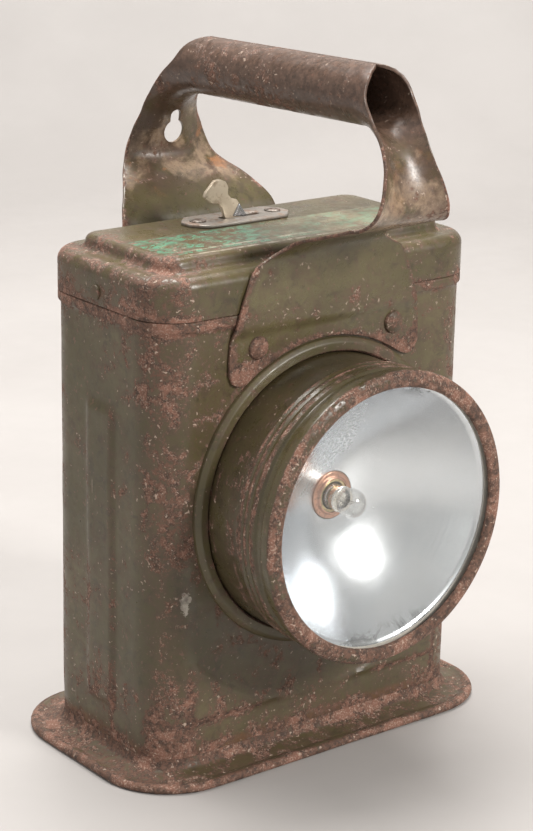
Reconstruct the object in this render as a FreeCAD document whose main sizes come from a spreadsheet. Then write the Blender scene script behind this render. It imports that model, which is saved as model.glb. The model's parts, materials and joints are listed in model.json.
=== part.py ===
"""Electric miner's hand lamp: a sheet steel case for two round dry cells, a lift-off lid with a switch,
a screwed lens ring on a drum, and one bent sheet handle. Width is X, the lens looks along -Y, up is +Z."""
import FreeCAD
import Part
import math
import os
import Sketcher
from FreeCAD import Placement, Rotation, Vector

doc = FreeCAD.newDocument("hand_lamp")
sheet = doc.addObject("Spreadsheet::Sheet", "Sizes")


class Dim:
    """A length that knows its value now and the expression it comes from."""

    def __init__(self, value, text):
        self.value = value
        self.text = text

    def __add__(self, other):
        return join(self, other, "+")

    def __radd__(self, other):
        return join(other, self, "+")

    def __sub__(self, other):
        return join(self, other, "-")

    def __rsub__(self, other):
        return join(other, self, "-")

    def __mul__(self, other):
        return join(self, other, "*")

    def __rmul__(self, other):
        return join(other, self, "*")

    def __truediv__(self, other):
        return join(self, other, "/")

    def __neg__(self):
        return join(0.0, self, "-")


def as_dim(item):
    if isinstance(item, Dim):
        return item
    if item < 0:
        return Dim(float(item), "(0 - %r)" % abs(float(item)))
    return Dim(float(item), "%r" % float(item))


def join(left, right, sign):
    left = as_dim(left)
    right = as_dim(right)
    value = {"+": left.value + right.value, "-": left.value - right.value,
             "*": left.value * right.value, "/": left.value / (right.value or 1.0)}[sign]
    return Dim(value, "(%s %s %s)" % (left.text, sign, right.text))


row_now = [1]


def size(alias, value, note):
    """Write one driving size into the spreadsheet and hand back its Dim."""
    row = row_now[0]
    sheet.set("A%d" % row, note)
    sheet.set("B%d" % row, "%r" % float(value))
    sheet.setAlias("B%d" % row, alias)
    row_now[0] = row + 1
    return Dim(float(value), "Sizes.%s" % alias)


# ---- driving sizes, mm
case_width = size("case_width", 146.0, "case, outside width")
case_depth = size("case_depth", 73.8, "case, outside depth")
case_corner = size("case_corner", 16.0, "case, vertical corner radius")
sheet_thick = size("sheet_thick", 1.0, "case and lid sheet")
seam_height = size("seam_height", 173.7, "height of the seam between case and lid")
bead_out = size("bead_out", 1.1, "how far the seam bead and the lid skirt stand out")
neck_rise = size("neck_rise", 8.0, "neck above the seam, inside the lid")
flange_out = size("flange_out", 13.1, "how far the base flange stands out")
flange_rise = size("flange_rise", 8.2, "height where the flange meets the case")
rib_width = size("rib_width", 16.0, "side rib width")
rib_low = size("rib_low", 22.0, "side rib, lower end")
rib_high = size("rib_high", 137.0, "side rib, upper end")
rib_out = size("rib_out", 1.2, "side rib height")
panel_across = size("panel_across", 58.7, "pressed corner panel, outer edge")
panel_low = size("panel_low", 21.5, "pressed corner panel, lower edge")
panel_tall = size("panel_tall", 21.5, "pressed corner panel height")
panel_reach = size("panel_reach", 29.0, "pressed corner panel width")
panel_out = size("panel_out", 0.6, "pressed corner panel, how far it stands out")
lens_height = size("lens_height", 100.4, "lens axis above the base")
drum_radius = size("drum_radius", 52.9, "lens drum, outside radius")
drum_front = size("drum_front", 71.5, "front end of the drum, from the case middle")
thread_start = size("thread_start", 56.2, "where the drum steps down to its thread")
thread_radius = size("thread_radius", 51.7, "drum radius under the lens ring")
drum_wall = size("drum_wall", 1.3, "drum wall at the thread")
collar_radius = size("collar_radius", 58.6, "pressed collar, outside radius")
collar_out = size("collar_out", 2.6, "pressed collar height")
rim_stand = size("rim_stand", 3.1, "lens ring, how far the rim bead stands outside the thread")
ring_radius = thread_radius + rim_stand
skirt_stand = size("skirt_stand", 2.1, "lens ring, how far the skirt stands outside the thread")
ring_skirt = thread_radius + skirt_stand
ring_front = size("ring_front", 76.5, "lens ring, front face from the case middle")
ring_gap = size("ring_gap", 0.35, "radial gap between lens ring and drum thread")
opening_inset = size("opening_inset", 3.6, "lens ring, clear opening inside the thread")
opening_radius = thread_radius - opening_inset
glass_thick = size("glass_thick", 1.8, "lens glass")
mirror_focus = size("mirror_focus", 19.6, "reflector focal length")
mirror_inset = size("mirror_inset", 3.2, "reflector mouth inside the thread")
mirror_radius = thread_radius - mirror_inset
mirror_sheet = size("mirror_sheet", 0.6, "reflector sheet")
copper_radius = size("copper_radius", 9.1, "copper collar behind the bulb")
bulb_radius = size("bulb_radius", 5.5, "bulb globe radius")
bulb_stand = size("bulb_stand", 17.903, "bulb tip in front of the middle of the bowl")
cap_radius = size("cap_radius", 4.7, "bulb cap radius")
shoulder_radius = size("shoulder_radius", 4.2, "lid shoulder rounding")
skirt_rise = size("skirt_rise", 15.3, "lid ledge above the seam")
step_in = size("step_in", 8.5, "lid step, inset from the case side")
step_rise = size("step_rise", 5.0, "lid step height")
grip_radius = size("grip_radius", 10.9, "handle grip, outside radius")
grip_height = size("grip_height", 250.5, "handle grip axis above the base")
grip_front = size("grip_front", 64.0, "front end of the grip")
grip_rear = size("grip_rear", 45.0, "rear end of the grip")
strap_thick = size("strap_thick", 1.2, "handle sheet")
strap_front = size("strap_front", 83.3, "handle, reach to the front")
strap_rear = size("strap_rear", 63.9, "handle, reach to the rear")
plate_half = size("plate_half", 44.0, "handle foot plate, half width")
plate_low = size("plate_low", 147.0, "handle foot plate, lower tip")
rivet_across = size("rivet_across", 31.5, "rivets, from the middle")
rivet_height = size("rivet_height", 160.4, "rivets above the base")
rivet_radius = size("rivet_radius", 4.4, "rivet head radius")
shank_radius = size("shank_radius", 2.4, "rivet shank radius")
key_radius = size("key_radius", 4.5, "keyhole in the rear strap, round end radius")
key_height = size("key_height", 220.0, "keyhole centre above the base")
key_slot = size("key_slot", 2.3, "keyhole slot, half width")
cell_radius = size("cell_radius", 33.3, "dry cell radius")
cell_across = size("cell_across", 35.0, "dry cell axis, from the middle")
cell_top = size("cell_top", 158.0, "dry cell, top of the jacket")
floor_thick = size("floor_thick", 1.0, "bottom plate")
pad_thick = size("pad_thick", 1.4, "fibre pad under the cells")
switch_across = size("switch_across", -3.5, "switch plate centre, along X")
switch_depth = size("switch_depth", 13.0, "switch plate centre, along Y")
switch_length = size("switch_length", 46.0, "switch plate length")
switch_width = size("switch_width", 17.0, "switch plate width")
switch_thick = size("switch_thick", 1.3, "switch plate thickness")
lever_thick = size("lever_thick", 1.6, "switch lever thickness")
pivot_across = size("pivot_across", -2.0, "lever pivot, along X")
pivot_height = size("pivot_height", 188.2, "lever pivot above the base")
pin_radius = size("pin_radius", 1.2, "lever pin radius")
doc.recompute()

half_width = case_width / 2
half_depth = case_depth / 2
lid_low = seam_height + 0.1
ledge = seam_height + skirt_rise
crown = ledge + step_rise
made = []


def new_body(name, across=0.0, along=0.0, up=0.0):
    """A body whose own frame is moved to the given place."""
    body = doc.addObject("PartDesign::Body", name)
    body.Label = name
    place = [as_dim(across), as_dim(along), as_dim(up)]
    body.Placement = Placement(Vector(place[0].value, place[1].value, place[2].value), Rotation())
    for letter, item in zip("xyz", place):
        body.setExpression("Placement.Base.%s" % letter, item.text)
    made.append(body)
    return body


def bind(sketch, index, item):
    sketch.setExpression("Constraints[%d]" % index, item.text)


def pin_point(sketch, geometry, spot, across, up):
    """Tie a point of the sketch to two sizes, measured from the sketch origin."""
    index = sketch.addConstraint(Sketcher.Constraint("DistanceX", -1, 1, geometry, spot, across.value))
    bind(sketch, index, across)
    index = sketch.addConstraint(Sketcher.Constraint("DistanceY", -1, 1, geometry, spot, up.value))
    bind(sketch, index, up)


def add_lines(sketch, points, closed):
    """Straight lines through the points; a third value on a point rounds that corner."""
    first = sketch.GeometryCount
    spots = [(as_dim(p[0]), as_dim(p[1])) for p in points]
    count = len(points) if closed else len(points) - 1
    for i in range(count):
        here = spots[i]
        there = spots[(i + 1) % len(points)]
        sketch.addGeometry(Part.LineSegment(Vector(here[0].value, here[1].value, 0),
                                            Vector(there[0].value, there[1].value, 0)), False)
    for i in range(count if closed else count - 1):
        sketch.addConstraint(Sketcher.Constraint("Coincident", first + i, 2, first + (i + 1) % count, 1))
    for i in range(count):
        pin_point(sketch, first + i, 1, spots[i][0], spots[i][1])
    if not closed:
        pin_point(sketch, first + count - 1, 2, spots[-1][0], spots[-1][1])
    for i in range(len(points)):
        if len(points[i]) < 3:
            continue
        radius = as_dim(points[i][2])
        before = sketch.GeometryCount
        sketch.fillet(first + i, 1, radius.value, True, True)
        for geometry in range(before, sketch.GeometryCount):
            if "Arc" in sketch.Geometry[geometry].TypeId:
                index = sketch.addConstraint(Sketcher.Constraint("Radius", geometry, radius.value))
                bind(sketch, index, radius)


def add_circle(sketch, across, up, radius):
    across = as_dim(across)
    up = as_dim(up)
    radius = as_dim(radius)
    spot = Vector(across.value, up.value, 0)
    geometry = sketch.addGeometry(Part.Circle(spot, Vector(0, 0, 1), radius.value), False)
    pin_point(sketch, geometry, 3, across, up)
    index = sketch.addConstraint(Sketcher.Constraint("Radius", geometry, radius.value))
    bind(sketch, index, radius)


def draw(body, plane, loops=(), circles=(), offset=0.0, closed=True):
    """A sketch on one of the body's own planes, pushed along the plane's normal by offset."""
    sketch = body.newObject("Sketcher::SketchObject", body.Name + "_sketch")
    base = [f for f in body.Origin.OriginFeatures if f.Role == plane][0]
    sketch.AttachmentSupport = [(base, "")]
    sketch.MapMode = "FlatFace"
    offset = as_dim(offset)
    sketch.AttachmentOffset = Placement(Vector(0, 0, offset.value), Rotation())
    sketch.setExpression("AttachmentOffset.Base.z", offset.text)
    for loop in loops:
        add_lines(sketch, loop, closed)
    for item in circles:
        add_circle(sketch, item[0], item[1], item[2])
    return sketch


def push(body, kind, sketch, length, both=False, back=False):
    """Pad or pocket a sketch by a bound length."""
    feature = body.newObject("PartDesign::" + kind, body.Name + "_" + kind.lower())
    feature.Profile = sketch
    length = as_dim(length)
    feature.Length = length.value
    feature.setExpression("Length", length.text)
    if both and "SideType" in feature.PropertiesList:
        feature.SideType = "Symmetric"
    elif both:
        feature.Midplane = True
    feature.Reversed = back
    doc.recompute()
    return feature


def spin(body, loop, axis="H_Axis", plane="YZ_Plane", kind="Revolution"):
    """Turn a closed profile round the body's axis: Y for the lens side, Z for upright pieces."""
    sketch = draw(body, plane, [loop])
    feature = body.newObject("PartDesign::" + kind, body.Name + "_turned")
    feature.Profile = sketch
    feature.ReferenceAxis = (sketch, [axis])
    feature.Angle = 360
    doc.recompute()
    return feature


def sweep(body, path, profile):
    feature = body.newObject("PartDesign::AdditivePipe", body.Name + "_sweep")
    feature.Profile = profile
    feature.Spine = (path, [])
    doc.recompute()
    return feature


def around_case(body, loop):
    """Sweep a wall section round the rounded rectangle of the case outline."""
    corner = case_corner
    path = draw(body, "XY_Plane", [[(half_width, 0.0), (half_width, half_depth, corner),
                                    (-half_width, half_depth, corner), (-half_width, -half_depth, corner),
                                    (half_width, -half_depth, corner)]])
    section = draw(body, "XZ_Plane", [[(half_width + p[0], p[1]) + tuple(p[2:]) for p in loop]])
    return sweep(body, path, section)


def rounded(across, along, corner, mid_across=0.0, mid_along=0.0):
    """Corner list of a rounded rectangle given by its half sizes."""
    mid_across = as_dim(mid_across)
    mid_along = as_dim(mid_along)
    return [(mid_across + across, mid_along - along, corner), (mid_across + across, mid_along + along, corner),
            (mid_across - across, mid_along + along, corner), (mid_across - across, mid_along - along, corner)]


def soften(body, radius, wanted):
    """Round the edges of the newest feature that the test picks."""
    base = body.Tip
    names = []
    for number, edge in enumerate(base.Shape.Edges):
        if wanted(edge):
            names.append("Edge%d" % (number + 1))
    feature = body.newObject("PartDesign::Fillet", body.Name + "_soft")
    feature.Base = (base, names)
    radius = as_dim(radius)
    feature.Radius = radius.value
    feature.setExpression("Radius", radius.text)
    doc.recompute()
    return feature


# ---- case: wall, seam bead and neck in one section, then the pressed panels and holes
case_shell = new_body("case_shell")
around_case(case_shell, [
    (0.0, flange_rise + 0.1), (0.0, seam_height - 4.4), (bead_out, seam_height - 3.6, 0.7),
    (bead_out, seam_height, 0.7), (-0.4, seam_height, 0.3), (-0.4, seam_height + neck_rise, 0.3),
    (-1.3, seam_height + neck_rise, 0.3), (-1.3, seam_height - 1.5, 0.6), (-sheet_thick, seam_height - 4.0),
    (-sheet_thick, flange_rise + 0.1)])
for side in (-1, 1):
    rib_mid = (rib_low + rib_high) / 2
    rib_half = (rib_high - rib_low) / 2
    rib = draw(case_shell, "YZ_Plane", [rounded(rib_width / 2, rib_half, 5.0, 0.0, rib_mid)],
               offset=side * (half_width - 0.4))
    push(case_shell, "Pad", rib, rib_out + 0.4, back=side < 0)
rib_face = half_width + rib_out
soften(case_shell, 0.9, lambda edge: abs(abs(edge.BoundBox.XMin) - rib_face.value) < 0.01
       and abs(edge.BoundBox.XLength) < 0.01)
for side in (-1, 1):
    panel = draw(case_shell, "XZ_Plane", [[
        (side * panel_across, panel_low, 1.5), (side * panel_across, panel_low + panel_tall, 1.0),
        (side * (panel_across - panel_reach * 0.42), panel_low + panel_tall * 0.4, 16.0),
        (side * (panel_across - panel_reach), panel_low, 1.0)]], offset=half_depth - 0.4)
    push(case_shell, "Pad", panel, panel_out + 0.4)
front_hole = draw(case_shell, "XZ_Plane", circles=[(0.0, lens_height, drum_radius + 0.3)])
push(case_shell, "Pocket", front_hole, half_depth + 5.0, back=True)
spots = [(-rivet_across, rivet_height, shank_radius + 0.15), (rivet_across, rivet_height, shank_radius + 0.15)]
rivet_holes = draw(case_shell, "XZ_Plane", circles=spots)
push(case_shell, "Pocket", rivet_holes, case_depth + 10.0, both=True)

base_flange = new_body("base_flange")
around_case(base_flange, [
    (-2.0, flange_rise + 9.0, 0.3), (-1.05, flange_rise + 9.0, 0.3), (-1.05, flange_rise),
    (0.0, flange_rise), (0.8, flange_rise - 3.7, 3.4), (flange_out - 4.4, 2.7, 3.0),
    (flange_out - 2.4, 3.4, 1.0), (flange_out, 3.4, 1.6), (flange_out, 0.0, 1.6),
    (flange_out - 3.4, 0.0, 0.4), (flange_out - 3.5, floor_thick, 0.2), (flange_out - 7.5, floor_thick, 1.5),
    (0.0, 3.2, 3.0), (-2.0, flange_rise - 2.0, 3.0)])

bottom_plate = new_body("bottom_plate")
floor = draw(bottom_plate, "XY_Plane", [rounded(half_width + flange_out - 3.7, half_depth + flange_out - 3.7,
                                                case_corner + flange_out - 3.7)])
push(bottom_plate, "Pad", floor, floor_thick)

cell_pad = new_body("cell_pad")
pad_sketch = draw(cell_pad, "XY_Plane", [rounded(half_width - 3.0, half_depth - 3.0, case_corner - 3.0)],
                  offset=floor_thick)
push(cell_pad, "Pad", pad_sketch, pad_thick)

# ---- lens side, all turned about the lens axis (radius measured up from the axis, front is -Y)
drum_collar = new_body("drum_collar", up=lens_height)
spin(drum_collar, [(-half_depth, drum_radius + 0.35, 0.2), (-half_depth, collar_radius),
                   (-half_depth - collar_out * 0.5, collar_radius - 0.2, 0.8),
                   (-half_depth - collar_out, collar_radius - 1.8, 1.4),
                   (-half_depth - collar_out, drum_radius + 0.9, 0.5),
                   (-half_depth - collar_out + 1.0, drum_radius + 0.35, 0.3)])

lens_drum = new_body("lens_drum", up=lens_height)
spin(lens_drum, [(-half_depth + 2.1, thread_radius - drum_wall), (-half_depth + 2.1, drum_radius + 3.0),
                 (-half_depth + 1.0, drum_radius + 3.0), (-half_depth + 1.0, drum_radius, 0.2),
                 (-thread_start, drum_radius, 0.3), (-thread_start, thread_radius, 0.2),
                 (-drum_front, thread_radius, 0.3), (-drum_front, thread_radius - drum_wall)])

lens_ring = new_body("lens_ring", up=lens_height)
bore = thread_radius + ring_gap
spin(lens_ring, [
    (-thread_start - 0.3, bore), (-thread_start - 0.3, ring_skirt - 0.3, 0.3),
    (-thread_start - 1.4, ring_skirt + 0.3, 0.6), (-thread_start - 2.9, ring_skirt - 0.4, 0.7),
    (-thread_start - 4.5, ring_skirt + 0.3, 0.7), (-thread_start - 6.1, ring_skirt - 0.4, 0.7),
    (-thread_start - 7.7, ring_skirt + 0.3, 0.7), (-thread_start - 9.4, ring_skirt, 0.7),
    (-thread_start - 10.4, bore + 0.75, 0.8), (-thread_start - 13.6, bore + 0.75, 1.0),
    (-thread_start - 14.6, ring_radius, 1.0), (-ring_front + 1.2, ring_radius, 1.6),
    (-ring_front, ring_radius - 2.6, 1.6), (-ring_front, opening_radius + 1.4, 1.4),
    (-ring_front + 1.9, opening_radius, 0.5), (-ring_front + 1.95, thread_radius + 0.2), (-ring_front + 6.4, bore)])

lens_glass = new_body("lens_glass", up=lens_height)
glass_back = -ring_front + 2.0 + glass_thick
spin(lens_glass, [(glass_back, 0.0), (glass_back, thread_radius - 0.1, 0.2),
                  (-ring_front + 2.0, thread_radius - 0.1, 0.2), (-ring_front + 2.0, 0.0)])

lens_gasket = new_body("lens_gasket", up=lens_height)
spin(lens_gasket, [(glass_back + 0.05, mirror_radius + 0.5), (glass_back + 0.05, thread_radius - 0.2, 0.2),
                   (-drum_front - mirror_sheet - 0.1, thread_radius - 0.2, 0.1),
                   (-drum_front - mirror_sheet - 0.1, mirror_radius + 0.5)])

reflector = new_body("reflector", up=lens_height)
bowl_back = drum_front + mirror_sheet - mirror_radius * mirror_radius / (4 * mirror_focus)
steps = 9
inside = []
outside = []
for i in range(steps + 1):
    radius = copper_radius + 0.2 + (mirror_radius - copper_radius - 0.2) * (i / steps)
    depth = bowl_back + radius * radius / (4 * mirror_focus)
    inside.append((-depth, radius))
    lean = math.atan2(radius.value, 2 * mirror_focus.value)
    outside.append((-depth + mirror_sheet / math.cos(lean), radius))
outside[-1] = (-drum_front, mirror_radius + 0.3)
rim = [(-drum_front - mirror_sheet, thread_radius - 0.4), (-drum_front, thread_radius - 0.4)]
spin(reflector, inside + rim + outside[::-1])

reflector_collar = new_body("reflector_collar", up=lens_height)
collar_back = -bowl_back + 1.6
spin(reflector_collar, [(collar_back, cap_radius + 1.7), (collar_back, copper_radius, 0.2),
                        (collar_back - 3.2, copper_radius, 0.4), (collar_back - 3.2, cap_radius + 2.6, 0.4),
                        (collar_back - 4.2, cap_radius + 2.2, 0.3), (collar_back - 4.2, cap_radius + 1.7)])

socket_shell = new_body("socket_shell", up=lens_height)
spin(socket_shell, [(-28.0, cap_radius + 0.7), (-28.0, cap_radius + 1.6), (collar_back - 3.6, cap_radius + 1.6),
                    (collar_back - 3.6, cap_radius + 0.7)])

socket_insulator = new_body("socket_insulator", up=lens_height)
spin(socket_insulator, [(-18.5, 0.0), (-18.5, 6.8, 0.8), (-31.0, 6.8), (-31.0, cap_radius + 1.6),
                        (-28.0, cap_radius + 1.6), (-28.0, 1.5), (-26.5, 1.5), (-26.5, 0.0)])

socket_contact = new_body("socket_contact", up=lens_height)
spin(socket_contact, [(-26.55, 0.0), (-26.55, 1.3), (-30.5, 1.3, 0.4), (-30.5, 0.0)])

bulb_tip = bowl_back + bulb_stand
bulb_back = -bulb_tip + 2 * bulb_radius
bulb_cap = new_body("bulb_cap", up=lens_height)
spin(bulb_cap, [(-33.4, 1.9), (-33.4, 3.4, 0.4), (-35.0, cap_radius, 0.4), (bulb_back + 0.4, cap_radius, 0.3),
                (bulb_back - 0.2, cap_radius + 0.4, 0.3), (bulb_back - 0.9, cap_radius - 0.3, 0.2),
                (bulb_back - 0.9, 3.3), (-34.4, 3.3), (-34.4, 1.9)])

bulb_stub = new_body("bulb_stub", up=lens_height)
spin(bulb_stub, [(-34.3, 0.0), (-34.3, 1.85), (-32.4, 1.85, 0.4), (-31.6, 1.0, 0.4), (-31.6, 0.0)])

bulb_globe = new_body("bulb_globe", up=lens_height)
globe_mid = -bulb_tip + bulb_radius
spin(bulb_globe, [(-bulb_tip, 0.0), (-bulb_tip, bulb_radius, bulb_radius - 0.1),
                  (globe_mid + 1.9, bulb_radius, 2.4), (bulb_back - 1.2, 3.1, 1.5), (bulb_back + 3.0, 3.1, 0.5),
                  (bulb_back + 3.0, 0.0)])
hollow = bulb_radius - 0.5
spin(bulb_globe, [(-bulb_tip + 0.5, 0.0), (-bulb_tip + 0.5, hollow, hollow - 0.1),
                  (globe_mid + 1.7, hollow, 2.0), (bulb_back - 1.1, 2.6, 1.3), (bulb_back + 1.5, 2.6, 0.4),
                  (bulb_back + 1.5, 0.0)], kind="Groove")

bulb_filament = new_body("bulb_filament", up=lens_height)
stem = draw(bulb_filament, "XZ_Plane", circles=[(-1.5, 0.0, 0.16), (1.5, 0.0, 0.16)], offset=-bulb_back - 1.5)
push(bulb_filament, "Pad", stem, bulb_radius + 1.4)
coil = draw(bulb_filament, "YZ_Plane", circles=[(globe_mid, 0.0, 0.3)], offset=-1.7)
push(bulb_filament, "Pad", coil, 3.4)

# ---- dry cells
post_across = cell_radius * 0.72
cell_low = floor_thick + pad_thick
for side, word in ((-1, "left"), (1, "right")):
    can = new_body("cell_can_" + word, side * cell_across)
    spin(can, [(0.0, cell_low), (cell_radius, cell_low, 0.8), (cell_radius, cell_top, 0.4),
               (cell_radius - 1.4, cell_top, 0.4), (cell_radius - 1.4, cell_top - 3.5),
               (0.0, cell_top - 3.5)], "V_Axis", "XZ_Plane")
    seal = new_body("cell_seal_" + word, side * cell_across)
    disc = draw(seal, "XY_Plane", circles=[(0.0, 0.0, cell_radius - 1.5), (side * post_across, 0.0, 2.1),
                                           (0.0, 0.0, 6.1)], offset=cell_top - 3.5)
    push(seal, "Pad", disc, 2.3)
    rod = new_body("carbon_rod_" + word, side * cell_across)
    spin(rod, [(0.0, cell_top - 3.4), (6.0, cell_top - 3.4), (6.0, cell_top + 1.6, 0.5), (0.0, cell_top + 1.6)],
         "V_Axis", "XZ_Plane")
    knob = new_body("carbon_nut_" + word, side * cell_across)
    spin(knob, [(0.0, cell_top + 1.65), (2.1, cell_top + 1.65), (2.1, cell_top + 3.2),
                (4.6, cell_top + 3.2, 0.4), (4.6, cell_top + 7.4, 0.6), (2.1, cell_top + 7.4),
                (2.1, cell_top + 9.6, 0.4), (0.0, cell_top + 9.6)], "V_Axis", "XZ_Plane")
    zinc = new_body("zinc_post_" + word, side * (cell_across + post_across))
    spin(zinc, [(0.0, cell_top - 3.4), (2.0, cell_top - 3.4), (2.0, cell_top + 3.2), (4.0, cell_top + 3.2, 0.4),
                (4.0, cell_top + 6.8, 0.5), (2.0, cell_top + 6.8), (2.0, cell_top + 8.6, 0.4),
                (0.0, cell_top + 8.6)], "V_Axis", "XZ_Plane")

cell_link = new_body("cell_link")
bar = draw(cell_link, "XY_Plane", [[
    (-cell_across - post_across - 5.0, 4.0, 3.0), (-cell_across - post_across - 5.0, -4.0, 3.0),
    (-cell_across - post_across + 6.0, -4.0, 3.0), (-cell_across - post_across + 12.0, -12.0, 5.0),
    (-cell_across + 14.0, -12.0, 5.0), (cell_across - 16.0, -4.0, 5.0), (cell_across + 5.0, -4.0, 3.0),
    (cell_across + 5.0, 4.0, 3.0), (cell_across - 12.0, 4.0, 5.0), (-cell_across + 14.0, -6.5, 5.0),
    (-cell_across - post_across + 14.0, -6.5, 4.0), (-cell_across - post_across + 6.0, 4.0, 3.0)]],
    circles=[(-cell_across - post_across, 0.0, 2.15), (cell_across, 0.0, 2.25)], offset=cell_top + 2.3)
push(cell_link, "Pad", bar, 0.8)

# ---- handle: a tube grip that runs into two flat straps with foot plates
handle = new_body("handle")
tube = draw(handle, "XZ_Plane", circles=[(0.0, grip_height, grip_radius),
                                         (0.0, grip_height, grip_radius - strap_thick)], offset=-grip_rear)
push(handle, "Pad", tube, grip_front + grip_rear)
scoop = draw(handle, "YZ_Plane", [[(-grip_front - 1.0, grip_height + grip_radius + 1.0),
                                   (-grip_front + 4.0, grip_height + grip_radius + 1.0),
                                   (-grip_front, grip_height - grip_radius + 4.0, 4.0),
                                   (-grip_front - 1.0, grip_height - grip_radius + 3.0)],
                                  [(grip_rear + 1.0, grip_height + grip_radius + 1.0),
                                   (grip_rear - 11.0, grip_height + grip_radius + 1.0),
                                   (grip_rear - 2.0, grip_height - grip_radius + 4.0, 4.0),
                                   (grip_rear + 1.0, grip_height - grip_radius + 3.0)]])
push(handle, "Pocket", scoop, 4 * grip_radius, both=True)
skin = strap_thick / 2
grip_low = grip_height - grip_radius + skin
face = half_depth + skin
upper = half_depth + bead_out + 0.3 + skin
front_line = [(-face, plate_low - 2.0), (-face, seam_height - 9.0, 2.0), (-upper, seam_height - 5.6, 2.0),
              (-upper, crown + 2.5, 5.0), (-strap_front + 8.5, grip_low - 32.0, 6.0),
              (-strap_front + skin - 1.0, grip_low - 24.0, 7.0), (-strap_front + skin, grip_low - 12.0, 9.0),
              (-grip_front - 8.0, grip_low, 9.0), (-grip_front + 6.0, grip_low)]
rear_line = [(face, plate_low - 2.0), (face, seam_height - 9.0, 2.0), (upper, seam_height - 5.6, 2.0),
             (upper, crown - 2.0, 4.0), (strap_rear - 8.0, grip_low - 34.0, 6.0),
             (strap_rear - skin, grip_low - 25.0, 8.0), (strap_rear - skin, grip_low - 11.0, 9.0),
             (grip_rear + 10.0, grip_low, 9.0), (grip_rear - 6.0, grip_low)]
for line in (front_line, rear_line):
    path = draw(handle, "YZ_Plane", [line], closed=False)
    start = line[0]
    blank = draw(handle, "XY_Plane", [[(plate_half + 4.0, start[0] - skin), (plate_half + 4.0, start[0] + skin),
                                       (-plate_half - 4.0, start[0] + skin),
                                       (-plate_half - 4.0, start[0] - skin)]], offset=start[1])
    sweep(handle, path, blank)

plate_side = [(plate_half - 8.0, plate_low, 4.0), (plate_half, plate_low + 1.0, 4.0),
              (plate_half, rivet_height - 2.0, 12.0), (plate_half - 4.5, seam_height + 1.0, 20.0),
              (plate_half - 7.0, crown - 8.0, 12.0)]
front_side = plate_side + [(23.5, crown + 1.0, 12.0), (21.5, crown + 10.0, 20.0), (19.5, grip_low - 30.0, 10.0),
                           (13.7, grip_low - 17.0, 30.0), (10.4, grip_low - 2.0, 20.0), (10.4, grip_low + 14.0)]
rear_side = plate_side + [(35.0, crown, 10.0), (28.0, grip_low - 36.0, 20.0), (18.5, grip_low - 26.0, 12.0),
                          (16.5, grip_low - 17.0, 30.0), (10.4, grip_low - 7.0, 20.0), (10.4, grip_low + 14.0)]
for side_points, back in ((front_side, False), (rear_side, True)):
    left = [(-p[0],) + tuple(p[1:]) for p in side_points[::-1]]
    frame = [(-plate_half - 12.0, plate_low - 12.0), (plate_half + 12.0, plate_low - 12.0),
             (plate_half + 12.0, grip_low + 14.0), (-plate_half - 12.0, grip_low + 14.0)]
    outline = side_points + left
    trim = draw(handle, "XZ_Plane", [frame, outline])
    push(handle, "Pocket", trim, strap_front + 10.0, back=not back)
arch = draw(handle, "XZ_Plane", circles=[(0.0, lens_height, collar_radius + 0.7)])
push(handle, "Pocket", arch, case_depth + 10.0, both=True)
rivet_spots = draw(handle, "XZ_Plane", circles=spots)
push(handle, "Pocket", rivet_spots, case_depth + 10.0, both=True)
eye = draw(handle, "XZ_Plane", circles=[(0.0, key_height, key_radius)])
push(handle, "Pocket", eye, strap_rear + 10.0)
key = draw(handle, "XZ_Plane", [[(-key_slot, key_height + 1.0), (key_slot, key_height + 1.0),
                                 (key_slot, key_height + 8.5, key_slot - 0.2),
                                 (-key_slot, key_height + 8.5, key_slot - 0.2)]])
push(handle, "Pocket", key, strap_rear + 10.0)

for side, word in ((-1, "left"), (1, "right")):
    for facing, where in ((-1, "front"), (1, "rear")):
        rivet = new_body("rivet_%s_%s" % (where, word), side * rivet_across, 0.0, rivet_height)
        top = half_depth + strap_thick + 0.01
        spin(rivet, [(facing * (half_depth - 2.2), 0.0), (facing * (half_depth - 2.2), 3.6, 0.5),
                     (facing * (half_depth - sheet_thick), 3.6), (facing * (half_depth - sheet_thick), shank_radius),
                     (facing * top, shank_radius), (facing * top, rivet_radius),
                     (facing * (top + 1.1), rivet_radius - 0.5, 1.0), (facing * (top + 1.9), 1.4, 3.0),
                     (facing * (top + 1.9), 0.0)])

# ---- lid
lid_shell = new_body("lid_shell")
out = bead_out
wall = sheet_thick
around_case(lid_shell, [
    (out, lid_low), (out, ledge, shoulder_radius), (-step_in, ledge, 2.4),
    (-step_in - 1.0, crown, 2.6), (-case_corner + 2.0, crown), (-case_corner + 2.0, crown - wall),
    (-step_in - 1.6, crown - wall, 1.6), (-step_in - 1.0, ledge - wall, 3.2),
    (out - wall, ledge - wall, shoulder_radius - wall), (out - wall, lid_low)])
top_plate = draw(lid_shell, "XY_Plane", [rounded(half_width - case_corner + 2.1, half_depth - case_corner + 2.1,
                                                 2.0)], offset=crown - wall)
push(lid_shell, "Pad", top_plate, wall)
slot_loop = [(pivot_across - 9.0, switch_depth - 2.0, 1.9), (pivot_across + 9.0, switch_depth - 2.0, 1.9),
             (pivot_across + 9.0, switch_depth + 2.0, 1.9), (pivot_across - 9.0, switch_depth + 2.0, 1.9)]
screw_spots = [(switch_across - 17.4, switch_depth, 1.7), (switch_across + 17.4, switch_depth, 1.7)]
lid_holes = draw(lid_shell, "XY_Plane", [slot_loop], circles=screw_spots, offset=crown + 1.0)
push(lid_shell, "Pocket", lid_holes, 6.0)
detent_holes = draw(lid_shell, "YZ_Plane", circles=[(1.0, seam_height + 4.8, 1.3)])
push(lid_shell, "Pocket", detent_holes, case_width + 20.0, both=True)
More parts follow.
